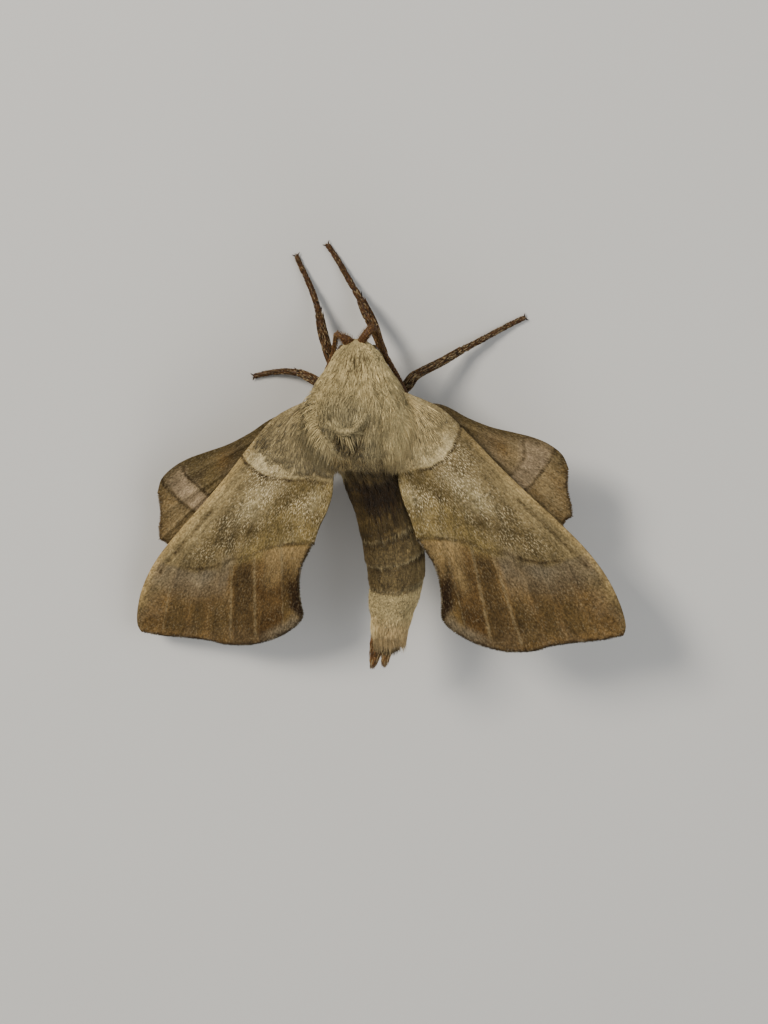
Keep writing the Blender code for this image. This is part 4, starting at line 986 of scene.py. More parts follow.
def wing_material(name, ray_strength, line_strength):
    """Rows of scales over the wing's own tints, with dark lines, pale rays and dashes of painted glint."""
    made, tree, shader = new_material(name, 0.7)
    shader.inputs["Specular IOR Level"].default_value = WING_SHINE
    grain = attribute(tree, "grain")
    at = place_in(tree)
    colour = attribute(tree, "tint")
    wobble = span(tree, noise(tree, at, 1500.0, 3.0), *NOISE_SPAN, -0.08, 0.08)
    broken = span(tree, noise(tree, at, 1300.0), 0.4, 0.6, 0.25, 1.0)
    ink = combine(tree, "MULTIPLY", attribute(tree, "ink", "Fac"), span(tree, broken, 0.25, 1.0, 0.6, 1.0))
    line = combine(tree, "ADD", attribute(tree, "line", "Fac"), wobble)
    dark = combine(tree, "MULTIPLY", span(tree, line, 0.06, 0.25, line_strength, 0.0), ink)
    colour = layered(tree, colour, dark, DARK_OLIVE)
    ray = combine(tree, "ADD", attribute(tree, "ray", "Fac"), wobble)
    colour = layered(tree, colour, span(tree, ray, 0.02, 0.2, ray_strength, 0.0), RAY_TAN)
    edge = combine(tree, "ADD", attribute(tree, "edge", "Fac"), wobble)
    rim = combine(tree, "MULTIPLY", span(tree, edge, 0.06, 0.36, 0.75, 0.0), broken)
    colour = layered(tree, colour, rim, DEEP_BROWN)
    streak = noise(tree, stretch(tree, grain, (0.9, 12.0, 1.0)), 1.0, 3.0, 0.6)
    streak = span(tree, streak, 0.32, 0.68, 0.76, 1.24)
    dashes = rippled(tree, stretch(tree, grain, (3.2, 28.0, 1.0)), 1.0, 0.38)
    drift = rippled(tree, at, 320.0, 0.16, 3.0)
    scale = span(tree, cells(tree, at, WING_SCALE), *CELL_SPAN, 0.78, 1.22)
    along = combine(tree, "MULTIPLY", streak, dashes)
    shade = combine(tree, "MULTIPLY", along, combine(tree, "MULTIPLY", drift, scale))
    colour = shaded(tree, colour, shade)
    # Painted glints: pale dashes along the grain, where the scales would catch the light
    glint = noise(tree, stretch(tree, grain, (3.4, 32.0, 1.0)), 1.0, 2.0, 0.6)
    glint = span(tree, glint, 0.52, 0.64, 0.0, 0.95)
    glint = combine(tree, "MULTIPLY", glint, attribute(tree, "painted_glint", "Fac"))
    colour = layered(tree, colour, glint, PAINTED_GLINT)
    tree.links.new(colour, shader.inputs["Base Color"])
    rows = combine(tree, "MULTIPLY", dashes, 0.8)
    relief = combine(tree, "ADD", rows, cells(tree, at, WING_SCALE, "Distance"))
    bumped(tree, shader, relief, 0.6, 0.05)
    return made


def chitin_material(name, colour, roughness):
    """Dark horny skin with a fine mottle."""
    made, tree, shader = new_material(name, roughness)
    at = place_in(tree)
    mask = span(tree, noise(tree, at, 2500.0, 3.0), 0.35, 0.65, 0.0, 0.6)
    tree.links.new(layered(tree, attribute(tree, "tint"), mask, colour), shader.inputs["Base Color"])
    bumped(tree, shader, noise(tree, at, 5000.0), 0.4, 0.03)
    return made


def eye_material(name):
    """A compound eye: near black with a brown cast and thousands of tiny facets."""
    made, tree, shader = new_material(name, 0.32)
    at = place_in(tree)
    shader.inputs["Specular IOR Level"].default_value = 0.3
    shader.inputs["Coat Weight"].default_value = 0.12
    shader.inputs["Coat Roughness"].default_value = 0.15
    shade = span(tree, cells(tree, at, FACET_SCALE), *CELL_SPAN, 0.6, 1.4)
    tree.links.new(shaded(tree, attribute(tree, "tint"), shade), shader.inputs["Base Color"])
    bumped(tree, shader, cells(tree, at, FACET_SCALE, "Distance"), 0.5, 0.03)
    return made


FUR = fur_material("fur")
SKIN = fur_material("skin_under_fur", 0.9, 0.0)
SCALES = fur_material("leg_scales", 0.65, 0.02)
CHITIN = chitin_material("chitin", CHITIN_BROWN, 0.5)
EYE = eye_material("compound_eye")
FOREWING = wing_material("forewing_scales", 0.45, 0.95)
HINDWING = wing_material("hindwing_scales", 0.12, 0.95)


# Trunk: one skin and its coat
def make_skin():
    """One closed skin over head, thorax, abdomen and tail: a tube of rings with a hub at each end."""
    rings = int((TRUNK_REAR - TRUNK_FRONT) / SKIN_STEP) + 1
    y = np.linspace(TRUNK_FRONT, TRUNK_REAR, rings)
    angle = np.linspace(0, 2 * np.pi, SKIN_SIDES, endpoint=False)
    grid_y, grid_angle = (a.ravel() for a in np.meshgrid(y, angle, indexing="ij"))
    points = trunk_point(grid_y, grid_angle)
    hubs = np.stack([points[:SKIN_SIDES].mean(0), points[-SKIN_SIDES:].mean(0)])
    faces = capped_tube(rings, SKIN_SIDES)[:, [0, 2, 1]]
    # Painted shade: the skin under the coat darker, and its rear hub much darker, in the tail's hollow
    tint = trunk_tint(grid_y, grid_angle) * SKIN_SHADE
    tint = np.concatenate([tint, tint[:1], tint[-1:] * 0.2])
    place = trunk_place(np.append(grid_y, (TRUNK_FRONT, TRUNK_REAR)), np.append(grid_angle, (0.0, 0.0)))
    skin = new_piece("body_skin", np.concatenate([points, hubs]), faces, SKIN, {"tint": tint}, place)
    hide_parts("head", "thorax", "abdomen", "tail_tuft")


def scattered(low, high, count):
    """Places along and round the trunk, spread by the skin's own area and the coat's density."""
    found_y, found_angle = [], []
    have = 0
    densest = max(station[4] for station in COAT_STATIONS)
    probe_y = np.linspace(low, high, PROBE_PLACES)
    sizes = [np.prod(trunk_normal(probe_y, np.full_like(probe_y, a))[1:], axis=0) for a in PROBE_ANGLES]
    largest = float(np.max(sizes)) * PROBE_MARGIN
    while have < count:
        y = rng.uniform(low, high, count)
        angle = rng.uniform(0, 2 * np.pi, count)
        _, lengthwise, round_it = trunk_normal(y, angle)
        density = eased(COAT_STATIONS, y)[3] / densest
        kept = rng.uniform(0, 1, count) < lengthwise * round_it / largest * density
        found_y.append(y[kept])
        found_angle.append(angle[kept])
        have += int(kept.sum())
    return np.concatenate(found_y)[:count], np.concatenate(found_angle)[:count]


def skin_area(low, high):
    """Square millimetres of skin between two places along the trunk."""
    along, round_it = np.linspace(low, high, AREA_PLACES), np.linspace(0, 2 * np.pi, AREA_PLACES)
    y, angle = (a.ravel() for a in np.meshgrid(along, round_it, indexing="ij"))
    _, lengthwise, across = trunk_normal(y, angle)
    return float(np.mean(lengthwise * across)) * (high - low) * 2 * np.pi


def coat_turn(y, angle):
    """How far a tuft turns round the trunk in each millimetre of its length: outwards at the shoulders."""
    outward = -np.cos(angle) * np.sin(angle).clip(0, 1)
    return 0.05 * outward * fade(y, -4.5, -2.0) * fade(y, 4.0, 2.0)


def clump_draw(y, angle, cell, table):
    """Random values that all tufts of one lock share, from the table by the lock's cell, and its middle."""
    along, across = cell
    row = np.floor(y / along + 0.5 * np.sin(angle * 5)).astype(int)
    column = np.floor(angle / across + 0.35 * np.sin(y * 3)).astype(int)
    return table[(row * 131 + column * 17) % len(table)], (column + 0.5) * across


def make_coat():
    """Dense tufts that lie rearwards along the trunk, gathered in fine locks, and cut short at the lip."""
    edges = (TRUNK_FRONT + 0.04, *COAT_SPLITS, COAT_END)
    table = rng.normal(size=(LOCK_ROWS, 3))
    for number, (low, high) in enumerate(zip(edges, edges[1:])):
        count = int(skin_area(low, high) * float(eased(COAT_STATIONS, (low + high) / 2)[3]))
        y, angle = scattered(low, high, count)
        length, width, lift = eased(COAT_STATIONS, y)[:3]
        lock, lock_middle = clump_draw(y, angle, COAT_LOCK, table)
        strand, strand_middle = clump_draw(y + 0.3, angle, COAT_STRAND, table)
        under = fade(np.sin(angle), 0.0, -0.6)
        edge, shown = lip_edge(angle)
        behind = y - edge
        hollow = shown * fade(behind, 0.0, 0.2) * fade(behind, 1.9, 1.1)
        length = length * (1 - 0.25 * under) * (1 - 0.6 * hollow)
        length = length * rng.uniform(0.7, 1.15, count) * (1 + 0.12 * lock[:, 0])
        sway = cloud(np.stack([y, angle * 4], -1), 1.5, 4)
        ruffle = fade(y, 15.9, 16.6) * fade(y, 19.0, 18.0)
        turn = coat_turn(y, angle) + 0.55 * ruffle * rng.normal(size=count)
        turn = turn + 0.06 * sway + 0.04 * lock[:, 1] + 0.03 * rng.normal(size=count)
        outward, pace, _ = trunk_normal(y, angle)
        pull = 0.25 * (lock_middle - angle) + 0.3 * (strand_middle - angle)
        tip_y = y + length / np.maximum(pace, 0.4)
        tip_y = np.where(behind < 0, tip_y - shown * np.maximum(tip_y - edge - 0.15, 0), tip_y)
        middles = trunk_point((y + tip_y) / 2, angle + turn * length * 0.4 + pull * 0.3)
        tips = trunk_point(np.minimum(tip_y, COAT_END), angle + turn * length + pull)
        tips[:, 1] += np.maximum(tip_y - COAT_END, 0)
        stray = np.abs(rng.normal(size=count)) * 0.3 + 0.75
        roots = trunk_point(y, angle) - outward * COAT_SINK
        middles = middles + outward * (lift * stray * 1.1)[:, None]
        tips = tips + outward * (lift * stray * (0.75 + 0.12 * lock[:, 2]))[:, None]
        shade = 1 + 0.1 * lock[:, :1] + 0.08 * strand[:, :1]
        tint = varied(trunk_tint(y, angle), 0.12, count) * shade.clip(0.6, 1.5)
        tuft_piece(f"coat_{number:02d}", FUR, "fur", roots, middles, tips, outward,
                   width * rng.uniform(0.75, 1.25, count), tint, trunk_place(y, angle))


# Wings
def wing_matrix(label):
    """Places a left wing's local s, t and height; a right wing's are mirrored after it."""
    pose = WING_POSE[label]
    turn = Euler([math.radians(a) for a in pose["turn"]], "XYZ").to_matrix().to_4x4()
    return Matrix.Translation(Vector(pose["root"])) @ turn


def wing_place(label, s, t, height):
    """Points of a wing from its local s, t and height over its middle surface."""
    pose = WING_POSE[label]
    middle = -0.5 * pose["bend"] * s * s - pose["twist"] * s * t - 0.5 * pose["arch"] * t * t
    placing = np.array(wing_matrix(label))
    local = np.stack([s, t, middle + height], -1)
    at = local @ placing[:3, :3].T + placing[:3, 3]
    return at * (SIDES[label], 1, 1)


def wing_local(label, at):
    """Local s and t of a wing over a point of the plan, near the wing."""
    placing = np.array(wing_matrix(label))
    flat = (at * (SIDES[label], 1, 1) - placing[:3, 3]) @ placing[:3, :3]
    return flat[:, 0], flat[:, 1]


def root_edge(label, ends, drop):
    """Where a wing grows, in local s and t: along the thorax's flank from rear to front, just inside it."""
    y = np.linspace(ends[1], ends[0], 7)
    x, _, half = eased(TRUNK_STATIONS, y)[:3]
    flank = np.abs(x + SIDES[label] * half) - 0.15
    at = np.stack([flank * SIDES[label], y, np.full_like(y, WING_POSE[label]["root"][2] - drop)], -1)
    return list(zip(*wing_local(label, at)))


def forewing_runs(label):
    """The forewing's edge in runs: leading edge, outer margin, hollow, inner margin and root."""
    pose = WING_POSE[label]
    reach = pose["fore_reach"]
    root = root_edge(label, FOREWING_ROOT_Y[label], 0.0)
    inner = []
    for s, t in FOREWING_INNER:
        share = (FOREWING_TORNUS[0] - s) / (FOREWING_TORNUS[0] - FOREWING_INNER[-1][0])
        inner.append((s, t + pose["inner_fullness"] * share))
    return (
        (root[-1], *stretched((*FOREWING_COSTA, FOREWING_APEX), reach)),
        stretched((FOREWING_APEX, *FOREWING_OUTER, FOREWING_TOOTH), reach),
        stretched((FOREWING_TOOTH, *FOREWING_HOLLOW, FOREWING_TORNUS), reach),
        (*stretched((FOREWING_TORNUS, *inner), reach), root[0]),
        root,
    )


def hindwing_runs(label):
    """The hindwing's edge in the same five runs, its third one scalloped."""
    reach = WING_POSE[label]["hind_reach"]
    root = root_edge(label, HINDWING_ROOT_Y[label], HINDWING_DROP)
    return (
        (root[-1], *stretched((*HINDWING_COSTA, *HINDWING_APEX), reach)),
        stretched((HINDWING_APEX[-1], *HINDWING_OUTER, HINDWING_TOOTH), reach),
        stretched((HINDWING_TOOTH, *HINDWING_SCALLOPS, HINDWING_ANAL[0]), reach),
        (*stretched(HINDWING_ANAL, reach), root[0]),
        root,
    )


def stretched(points, reach):
    """Outline points moved out along the wing."""
    return [(s * reach, t) for s, t in points]


def inside(points, edge):
    """Which points an outline encloses, by counting the sides to the right of each."""
    crossed = np.zeros(len(points), bool)
    for a, b in zip(edge, np.roll(edge, -1, axis=0)):
        if a[1] == b[1]:
            continue
        between = (a[1] > points[:, 1]) != (b[1] > points[:, 1])
        crossed ^= between & (points[:, 0] < (b[0] - a[0]) * (points[:, 1] - a[1]) / (b[1] - a[1]) + a[0])
    return crossed


def lattice(edge, step):
    """Points spread evenly inside an outline, clear of its edge."""
    low, high = edge.min(0), edge.max(0)
    rows = []
    for n, t in enumerate(np.arange(low[1], high[1], step * 0.866)):
        s = np.arange(low[0] + (n % 2) * step / 2, high[0], step)
        rows.append(np.stack([s, np.full_like(s, t)], -1))
    grid = np.concatenate(rows)
    grid = grid[inside(grid, edge)]
    closed = np.concatenate([edge, edge[:1]])
    return grid[np.abs(signed_distance(grid, closed)) > step * 0.6]


def inset(edge, distance):
    """An outline drawn in by a distance, each point along its own normal."""
    ahead = np.roll(edge, -1, axis=0) - np.roll(edge, 1, axis=0)
    inward = unit(np.stack([-ahead[:, 1], ahead[:, 0]], -1))
    return edge + inward * distance[:, None]


def vein_lines(veins, reach):
    """The veins as fine lines, moved out along the wing as its outline is."""
    return [resampled([(s * reach, t) for s, t in line], 0.5) for line in veins]


def warped(p):
    """Points of a wing pushed about a little, so that no border between two colours runs clean."""
    wide = np.stack([cloud(p, 1.3, 1), cloud(p, 1.3, 2)], -1)
    narrow = np.stack([cloud(p, 0.45, 3), cloud(p, 0.45, 4)], -1)
    return p + 0.2 * wide + 0.1 * narrow


def wing_grain(p):
    """Coordinates along and across the wing's own grain, which fans out from behind the root."""
    s, t = p[:, 0] - GRAIN_FROM[0], p[:, 1] - GRAIN_FROM[1]
    return np.stack([np.hypot(s, t), np.arctan2(t, s) * GRAIN_TURNS], -1)


def streaked(p, colour, depth):
    """A colour with lighter and darker streaks along the grain of the wing."""
    grain = wing_grain(p)
    swing = 0.6 * cloud(grain, (1.6, 0.35), 6) + 0.4 * cloud(grain, (0.7, 0.14), 7)
    return colour * (1 + depth * swing)[:, None]


def forewing_tint(label, p, margin, costa):
    """The forewing's areas of colour at its points, before lines, rays and scales."""
    look = WING_LOOK[label]
    q = warped(p)
    inner = signed_distance(q, INNER_LINE[label])
    outer = signed_distance(q, OUTER_LINE)
    wash = cloud(q, (2.0, 0.9), 5)
    mottle = 0.6 * cloud(q, (0.8, 0.4), 11) + 0.4 * cloud(q, (0.35, 0.2), 12)
    glow = sum(share * patch(q, at, reach) for share, at, reach in MEDIAN_GLOWS)
    base = fade(inner, 0.15, -0.35)
    values = {
        "place": q, "s": q[:, 0], "t": q[:, 1], "margin": margin, "costa": costa, "outer": outer,
        **{name: signed_distance(q, line[:2]) for name, line in RAYS[label].items()},
        "base": base,
        "wash": wash,
        "mottle": mottle,
        "bloom": cloud(q, (1.5, 1.1), 8),
        "median_glow": (glow * (0.6 + 0.55 * mottle)).clip(0, 0.95),
        "smudging": 0.45 * fade(wash, 0.1, 0.7) + 0.3 * fade(mottle, 0.1, 0.6),
        "base_glow": (base * patch(q, *BASE_GLOW_PATCH) * (0.58 + 0.7 * mottle)).clip(0, 0.9),
        "basal_spot": patch(q, look["basal_spot"], SPOT_REACH),
        "base_rear": look["base_rear"],
        "costa_glow": look["costa"],
        "band": look["band"],
        "wedge": outer - look["wedge_start"],
        "dawn": 1 + 0.2 * wash,
    }
    colour = zoned(np.array(MEDIAN_TAN), values, FOREWING_ZONES)
    # Painted light and shade: each side's base lighter or darker by its own gain
    colour = paint(colour, base, np.array(BASE_TAN) * look["base"])
    colour = zoned(colour, values, FOREWING_BASE_ZONES)
    pink = fade(outer, 0.0, 0.6) * fade(outer + 0.5 * wash, 4.6, 0.8) * fade(values["D"], -0.1, 0.5)
    colour = paint(colour, (0.72 + 0.25 * wash) * pink, np.array(PINK_GREY) * look["pink"])
    return streaked(p, zoned(colour, values, FOREWING_OUTER_ZONES), 0.32)


def hindwing_tint(label, p, margin, costa):
    """The hindwing's areas: brown at the base, grey pink between its two lines, rusty outside."""
    look = WING_LOOK[label]
    q = warped(p)
    inner, outer = (signed_distance(q, line) for line in HIND_LINES[label])
    values = {
        "place": q, "s": q[:, 0], "margin": margin, "costa": costa, "inner": inner, "outer": outer,
        "wash": cloud(q, (2.4, 0.8), 5),
        "bloom": cloud(q, (1.6, 1.0), 8),
        "pink": 0.8 + 0.25 * cloud(q, (1.5, 0.7), 9),
        "hind_blush": look["hind_blush"],
    }
    # Painted light and shade: each side's hindwing lighter or darker by its own gain
    return streaked(p, zoned(np.array(HIND_BROWN) * look["hind"], values, HINDWING_ZONES), 0.28)


def forewing_lines(label, p):
    """Distance from the nearest dark line, how strongly that line shows, and the nearest ray's distance."""
    t = p[:, 1]
    lines = np.abs([signed_distance(p, line) for line in (INNER_LINE[label], OUTER_LINE, COSTAL_LINE)])
    inks = np.stack([0.35 + 0.85 * fade(t, 4.8, 2.8),
                     0.7 + 0.4 * np.exp(-((t - 1.3) / 0.8) ** 2) - 0.6 * fade(t, 0.4, -0.6),
                     np.full(len(p), 0.8)])
    nearest = np.argmin(lines, axis=0)[None]
    line, ink = (np.take_along_axis(rows, nearest, 0)[0] for rows in (lines, inks))
    rays = [np.abs(signed_distance(p, line[:2])) + line[2] for line in RAYS[label].values()]
    return line, ink, np.min(rays, axis=0)


def forewing_painted_glint(p, inner, outer):
    """Where painted glints show: round the inner line, over the middle of the wing and a little at the base.
    """
    values = {"place": p, "t": p[:, 1], "inner": inner, "outer": outer}
    painted_glint = 0.06 + sum(masked(values, strength, factors) for strength, *factors in FOREWING_GLINTS)
    painted_glint = painted_glint * (1.1 + 1.0 * cloud(p, (0.9, 0.5), 13)) * (1 - 0.8 * patch(p, *GLINT_SHADOW))
    return np.clip(painted_glint, 0.0, 1.0)


def sheet_solid(faces, count):
    """Faces of a closed solid between a sheet of points and its copy below, from the sheet's own faces."""
    sides = np.concatenate([faces[:, [0, 1]], faces[:, [1, 2]], faces[:, [2, 0]]])
    known = {tuple(pair) for pair in sides.tolist()}
    rim = np.array([pair for pair in known if pair[::-1] not in known])
    a, b = rim[np.lexsort((rim[:, 1], rim[:, 0]))].T
    walls = [np.stack([b, a, a + count], -1), np.stack([b, a + count, b + count], -1)]
    return np.concatenate([faces, faces[:, ::-1] + count, *walls])


def make_wing(label, kind):
    """A thin wing: two fine sheets joined round the edge, the upper one ridged along its veins."""
    fore = kind == "forewing"
    runs = forewing_runs(label) if fore else hindwing_runs(label)
    reach = WING_POSE[label]["fore_reach" if fore else "hind_reach"]
    drop = 0.0 if fore else HINDWING_DROP
    veins = vein_lines(FOREWING_VEINS if fore else HINDWING_VEINS, reach)
    pieces = [resampled(run, EDGE_STEP)[:-1] for run in runs]
    draw_in = np.concatenate([np.full(len(p), share) for p, share in zip(pieces, FRINGED)])
    edge = inset(np.concatenate(pieces), draw_in * FRINGE_REACH)
    starts = np.cumsum([0] + [len(p) for p in pieces])
    costa_line = edge[starts[0]:starts[1] + 1]
    margin_line = edge[starts[1]:starts[3] + 1]
    points = np.concatenate([edge, lattice(edge, WING_STEP)])
    links = [(k, (k + 1) % len(edge)) for k in range(len(edge))]
    outline = [list(range(len(edge)))]
    flat, _, faces, *_ = delaunay_2d_cdt([Vector(p) for p in points], links, outline, 1, MERGE_DISTANCE)
    p = np.array([(v.x, v.y) for v in flat])
    faces = np.array([tuple(f) for f in faces])
    s, t = p[:, 0], p[:, 1]
    margin = np.abs(signed_distance(p, margin_line))
    costa = np.abs(signed_distance(p, costa_line))
    vein = nearest_distance(p, veins)
    ridge = VEIN_RISE * fade(vein, VEIN_HALF_WIDTH, 0.0) - PLEAT_DEPTH * fade(vein, 0.1, PLEAT_REACH)
    ridge = ridge * (fade(margin, 0.0, MARGIN_REACH) * (1 - MARGIN_RELIEF) + MARGIN_RELIEF)
    top = wing_place(label, s, t, WING_TOP + ridge - drop)
    bottom = wing_place(label, s, t, WING_UNDER + ridge * UNDER_RELIEF - drop)
    count = len(p)
    if SIDES[label] < 0:
        faces = faces[:, ::-1]
    tint = (forewing_tint if fore else hindwing_tint)(label, p, margin, costa)
    if fore:
        inner = signed_distance(p, INNER_LINE[label])
        outer = signed_distance(p, OUTER_LINE)
        line, ink, ray = forewing_lines(label, p)
        ray = ray + np.where(outer < 0.1, 0.6, 0.0) + 0.15 * fade(margin, 1.0, 0.2)
        painted_glint = forewing_painted_glint(p, inner, outer)
    else:
        line = nearest_distance(p, HIND_LINES[label])
        ink = np.full(count, WING_LOOK[label]["hind_ink"])
        ray = vein
        painted_glint = np.full(count, 0.1)
    grain = np.concatenate([wing_grain(p), np.zeros((count, 1))], axis=1)
    sheets = {
        "tint": (tint, tint * UNDER_SHADE + np.array(WARM_TIP) * 0.5),
        "line": (line, line + 0.08),
        "ink": (ink, ink),
        "ray": (ray, ray + 0.1),
        "edge": (margin, margin),
        "painted_glint": (painted_glint, painted_glint * 0.3),
        "grain": (grain, grain),
    }
    shares = {key: np.concatenate(pair) for key, pair in sheets.items()}
    solid = sheet_solid(faces, count)
    material = FOREWING if fore else HINDWING
    wing = new_piece(f"{kind}_{label}_scaled", np.concatenate([top, bottom]), solid, material, shares)
    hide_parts(f"{kind}_{label}")
    make_fringe(label, kind, margin_line, drop)


def make_fringe(label, kind, line, drop):
    """A row of narrow scales along the outer margin, mostly dark, with pale ones in its hollows."""
    along = resampled(line, FRINGE_STEP)
    ahead = unit(np.gradient(along, axis=0))
    outward = np.stack([ahead[:, 1], -ahead[:, 0]], -1)
    count = len(along)
    aside = ahead * rng.normal(size=(count, 1)) * 0.05
    length = FRINGE_REACH * rng.uniform(0.7, 1.05, (count, 1))
    bends = (along - outward * 0.2, along + outward * length * 0.4, along + outward * length + aside)
    heights = rng.uniform(0.06, 0.16, count) - drop
    placed = [wing_place(label, q[:, 0], q[:, 1], heights) for q in bends]
    dark = np.array(SMUDGE if kind == "forewing" else ORANGE_BROWN)
    mixing = fade(np.sin(np.arange(count) * 0.09) + 0.5 * rng.normal(size=count), 0.4, 1.2)
    tint = varied(dark + mixing[:, None] * (np.array(PINK_GREY) - dark), 0.15, count)
    place = np.stack([np.linspace(0.01, 0.98, count), np.full(count, 0.5)], -1)
    tuft_piece(f"{kind}_{label}_fringe", FUR, kind, *placed, UP, 0.1, tint, place, 0.2)


# Hairs over the bases of the wings
def trunk_top(at):
    """Height of the trunk's upper side over points of the plan, and its widest height beside it."""
    x, widest, half, _, top = eased(TRUNK_STATIONS, at[:, 1])[:5]
    aside = ((at[:, 0] - x) / half).clip(-1, 1)
    return widest + (top - widest) * np.sqrt(1 - aside ** 2)


def flank_places(side, along, degrees, count):
    """Random places on one flank of the trunk, along it and round it."""
    y = rng.uniform(*along, count)
    angle = np.radians(rng.uniform(*degrees, count))
    return y, angle if side > 0 else np.pi - angle


def make_shoulders():
    """Long tufts that lie from the shoulders over the wing bases, combed back and a little outwards."""
    table = rng.normal(size=(SHOULDER_LOCKS, 3))
    for label, side in SIDES.items():
        count, first, reach = SHOULDERS[label]
        y, angle = flank_places(side, (first, SHOULDER_END), SHOULDER_DEGREES, count)
        outward = trunk_normal(y, angle)[0]
        roots = trunk_point(y, angle)
        lock, _ = clump_draw(y, angle, SHOULDER_LOCK, table)
        out = eased(SHOULDER_OUT, y)[0] * rng.uniform(0.1, 1.6, count) * reach
        back = eased(SHOULDER_BACK, y)[0] * rng.uniform(0.35, 1.15, count)
        out = out + 0.15 * lock[:, 0]
        tips = roots + np.stack([side * out, back + 0.2 * lock[:, 1], np.zeros(count)], -1)
        s, t = wing_local(label, tips)
        over = wing_place(label, s, t, np.full(count, WING_TOP + 0.15))[:, 2]
        tips[:, 2] = np.maximum(over, trunk_top(tips)) + rng.uniform(0.02, 0.3, count)
        middles = (roots + tips) / 2
        middles[:, 2] = np.maximum(middles[:, 2], trunk_top(middles))
        middles = middles + outward * rng.uniform(0.05, 0.3, (count, 1))
        tint = varied(trunk_tint(y, angle), 0.13, count) * (1 + 0.08 * lock[:, :1])
        tuft_piece(f"shoulder_hair_{label}", FUR, "fur", roots - outward * HAIR_SINK, middles, tips, outward,
                   rng.uniform(*HAIR_WIDTHS, count), tint, trunk_place(y, angle))


def make_lip():
    """Pale tufts that curl up along the edge of the thorax's lip."""
    count = LIP_TUFTS
    angle = np.radians(rng.uniform(LIP_SPAN[0] + 8, LIP_SPAN[2] - 6, count))
    edge, _ = lip_edge(angle)
    y = edge - rng.uniform(0.15, 0.7, count)
    outward = trunk_normal(y, angle)[0]
    roots = trunk_point(y, angle)
    tips = trunk_point(edge - 0.1, angle) + outward * rng.uniform(0.2, 0.3, (count, 1))
    tips[:, 1] += rng.uniform(0.1, 0.22, count)
    middles = (roots + tips) / 2 + outward * 0.1
    tints = varied((np.array(PALE_FUR) + GREY_FUR) / 2, 0.12, count)
    tuft_piece("thorax_lip", FUR, "fur", roots, middles, tips, outward, 0.075, tints, trunk_place(y, angle))


def base_hair_places(label):
    """Places on the forewing's base where long hairs stand, and how far each is behind the inner line."""
    edge = np.concatenate([resampled(run, 0.5)[:-1] for run in forewing_runs(label)])
    s = rng.uniform(*BASE_HAIR_S, BASE_HAIR_DRAWS)
    p = np.stack([s, rng.uniform(*BASE_HAIR_T, BASE_HAIR_DRAWS)], -1)
    clear = np.abs(signed_distance(p, np.concatenate([edge, edge[:1]]))) > 0.3
    reached = signed_distance(p, INNER_LINE[label]) + 0.8 * fade(p[:, 1], 2.8, 1.4)
    reached = reached + 0.35 * cloud(p, (0.9, 0.5), 14)
    share = fade(reached, -0.3, -1.6) * (1 - 0.4 * fade(p[:, 1], 1.0, -0.5)) * WING_LOOK[label]["hair_share"]
    kept = inside(p, edge) & clear & (rng.uniform(0, 1, BASE_HAIR_DRAWS) < share)
    return p[kept], reached[kept]


def make_base_hairs():
    """Hair-like scales over the wing bases: along the wing at its leading edge, straight rearwards behind."""
    for label, look in WING_LOOK.items():
        p, reached = base_hair_places(label)
        count = len(p)
        rear = (np.array(wing_matrix(label))[:3, :3].T @ np.array((0.0, 1.0, 0.0)))[:2]
        turned = fade(p[:, 1], -0.6, 3.2)[:, None]
        sway = np.stack([cloud(p, 1.2, 9), cloud(p, 1.2, 10)], -1)
        away = np.array((1.0, 0.0)) * (1 - turned) + rear * turned + 0.22 * sway
        away = unit(away + rng.normal(size=(count, 2)) * 0.12)
        length = eased(BASE_HAIR_LENGTH, p[:, 0])[0] * rng.uniform(0.5, 1.15, count)
        length = length * (1 - 0.7 * fade(reached, -2.4, -0.6))
        reach = away * length[:, None]
        heights = (np.full(count, -0.05), 0.04 + 0.12 * length, 0.03 + 0.07 * length)
        placed = [wing_place(label, q[:, 0], q[:, 1], WING_TOP + height)
                  for q, height in zip((p, p + reach * 0.5, p + reach), heights)]
        far = np.full(count, FAR)
        colour = forewing_tint(label, p, far, far)
        # Painted light: hairs near the root lighter against the shade under the shoulder hair, and each
        # side's lighter or darker by its gain
        colour = paint(colour, 0.7 * fade(p[:, 0], 6.0, 2.5), np.array(BASE_TAN) * 1.3 * look["base"])
        tint = varied(colour * look["hair"], 0.28, count)
        place = (p + (2.0, 3.0)) / 12.0
        tuft_piece(f"wing_base_hair_{label}", FUR, "forewing", *placed, UP, rng.uniform(0.05, 0.085, count),
                   tint, place, 0.3)


# Tubes: legs, feelers and palps
def tube_frames(line):
    """Directions along a line and two across it, carried along without twisting."""
    along = unit(np.gradient(line, axis=0))
    across = np.empty_like(along)
    side = np.cross(along[0], UP)
    for k, way in enumerate(along):
        side = side - way * (side @ way)
        side = side / np.linalg.norm(side)
        across[k] = side
    return along, across, np.cross(across, along)


def tube_at(line, radii, frames, at, angle, swell=0.0):
    """Points on a tube at places along its line, counted in points, and angles round it."""
    k = np.arange(len(line))
    mixed = [np.stack([np.interp(at, k, rows[:, n]) for n in range(3)], -1) for rows in (line, *frames)]
    centre, along, across, up = mixed
    outward = across * np.cos(angle)[:, None] + up * np.sin(angle)[:, None]
    return centre + outward * (np.interp(at, k, radii) + swell)[:, None], outward, along


def tube_place(angle, share):
    """Where a point of a tube lies on its unwrap."""
    return np.stack([(angle / (2 * np.pi)) % 1.0, share], -1) * TUBE_UNWRAP


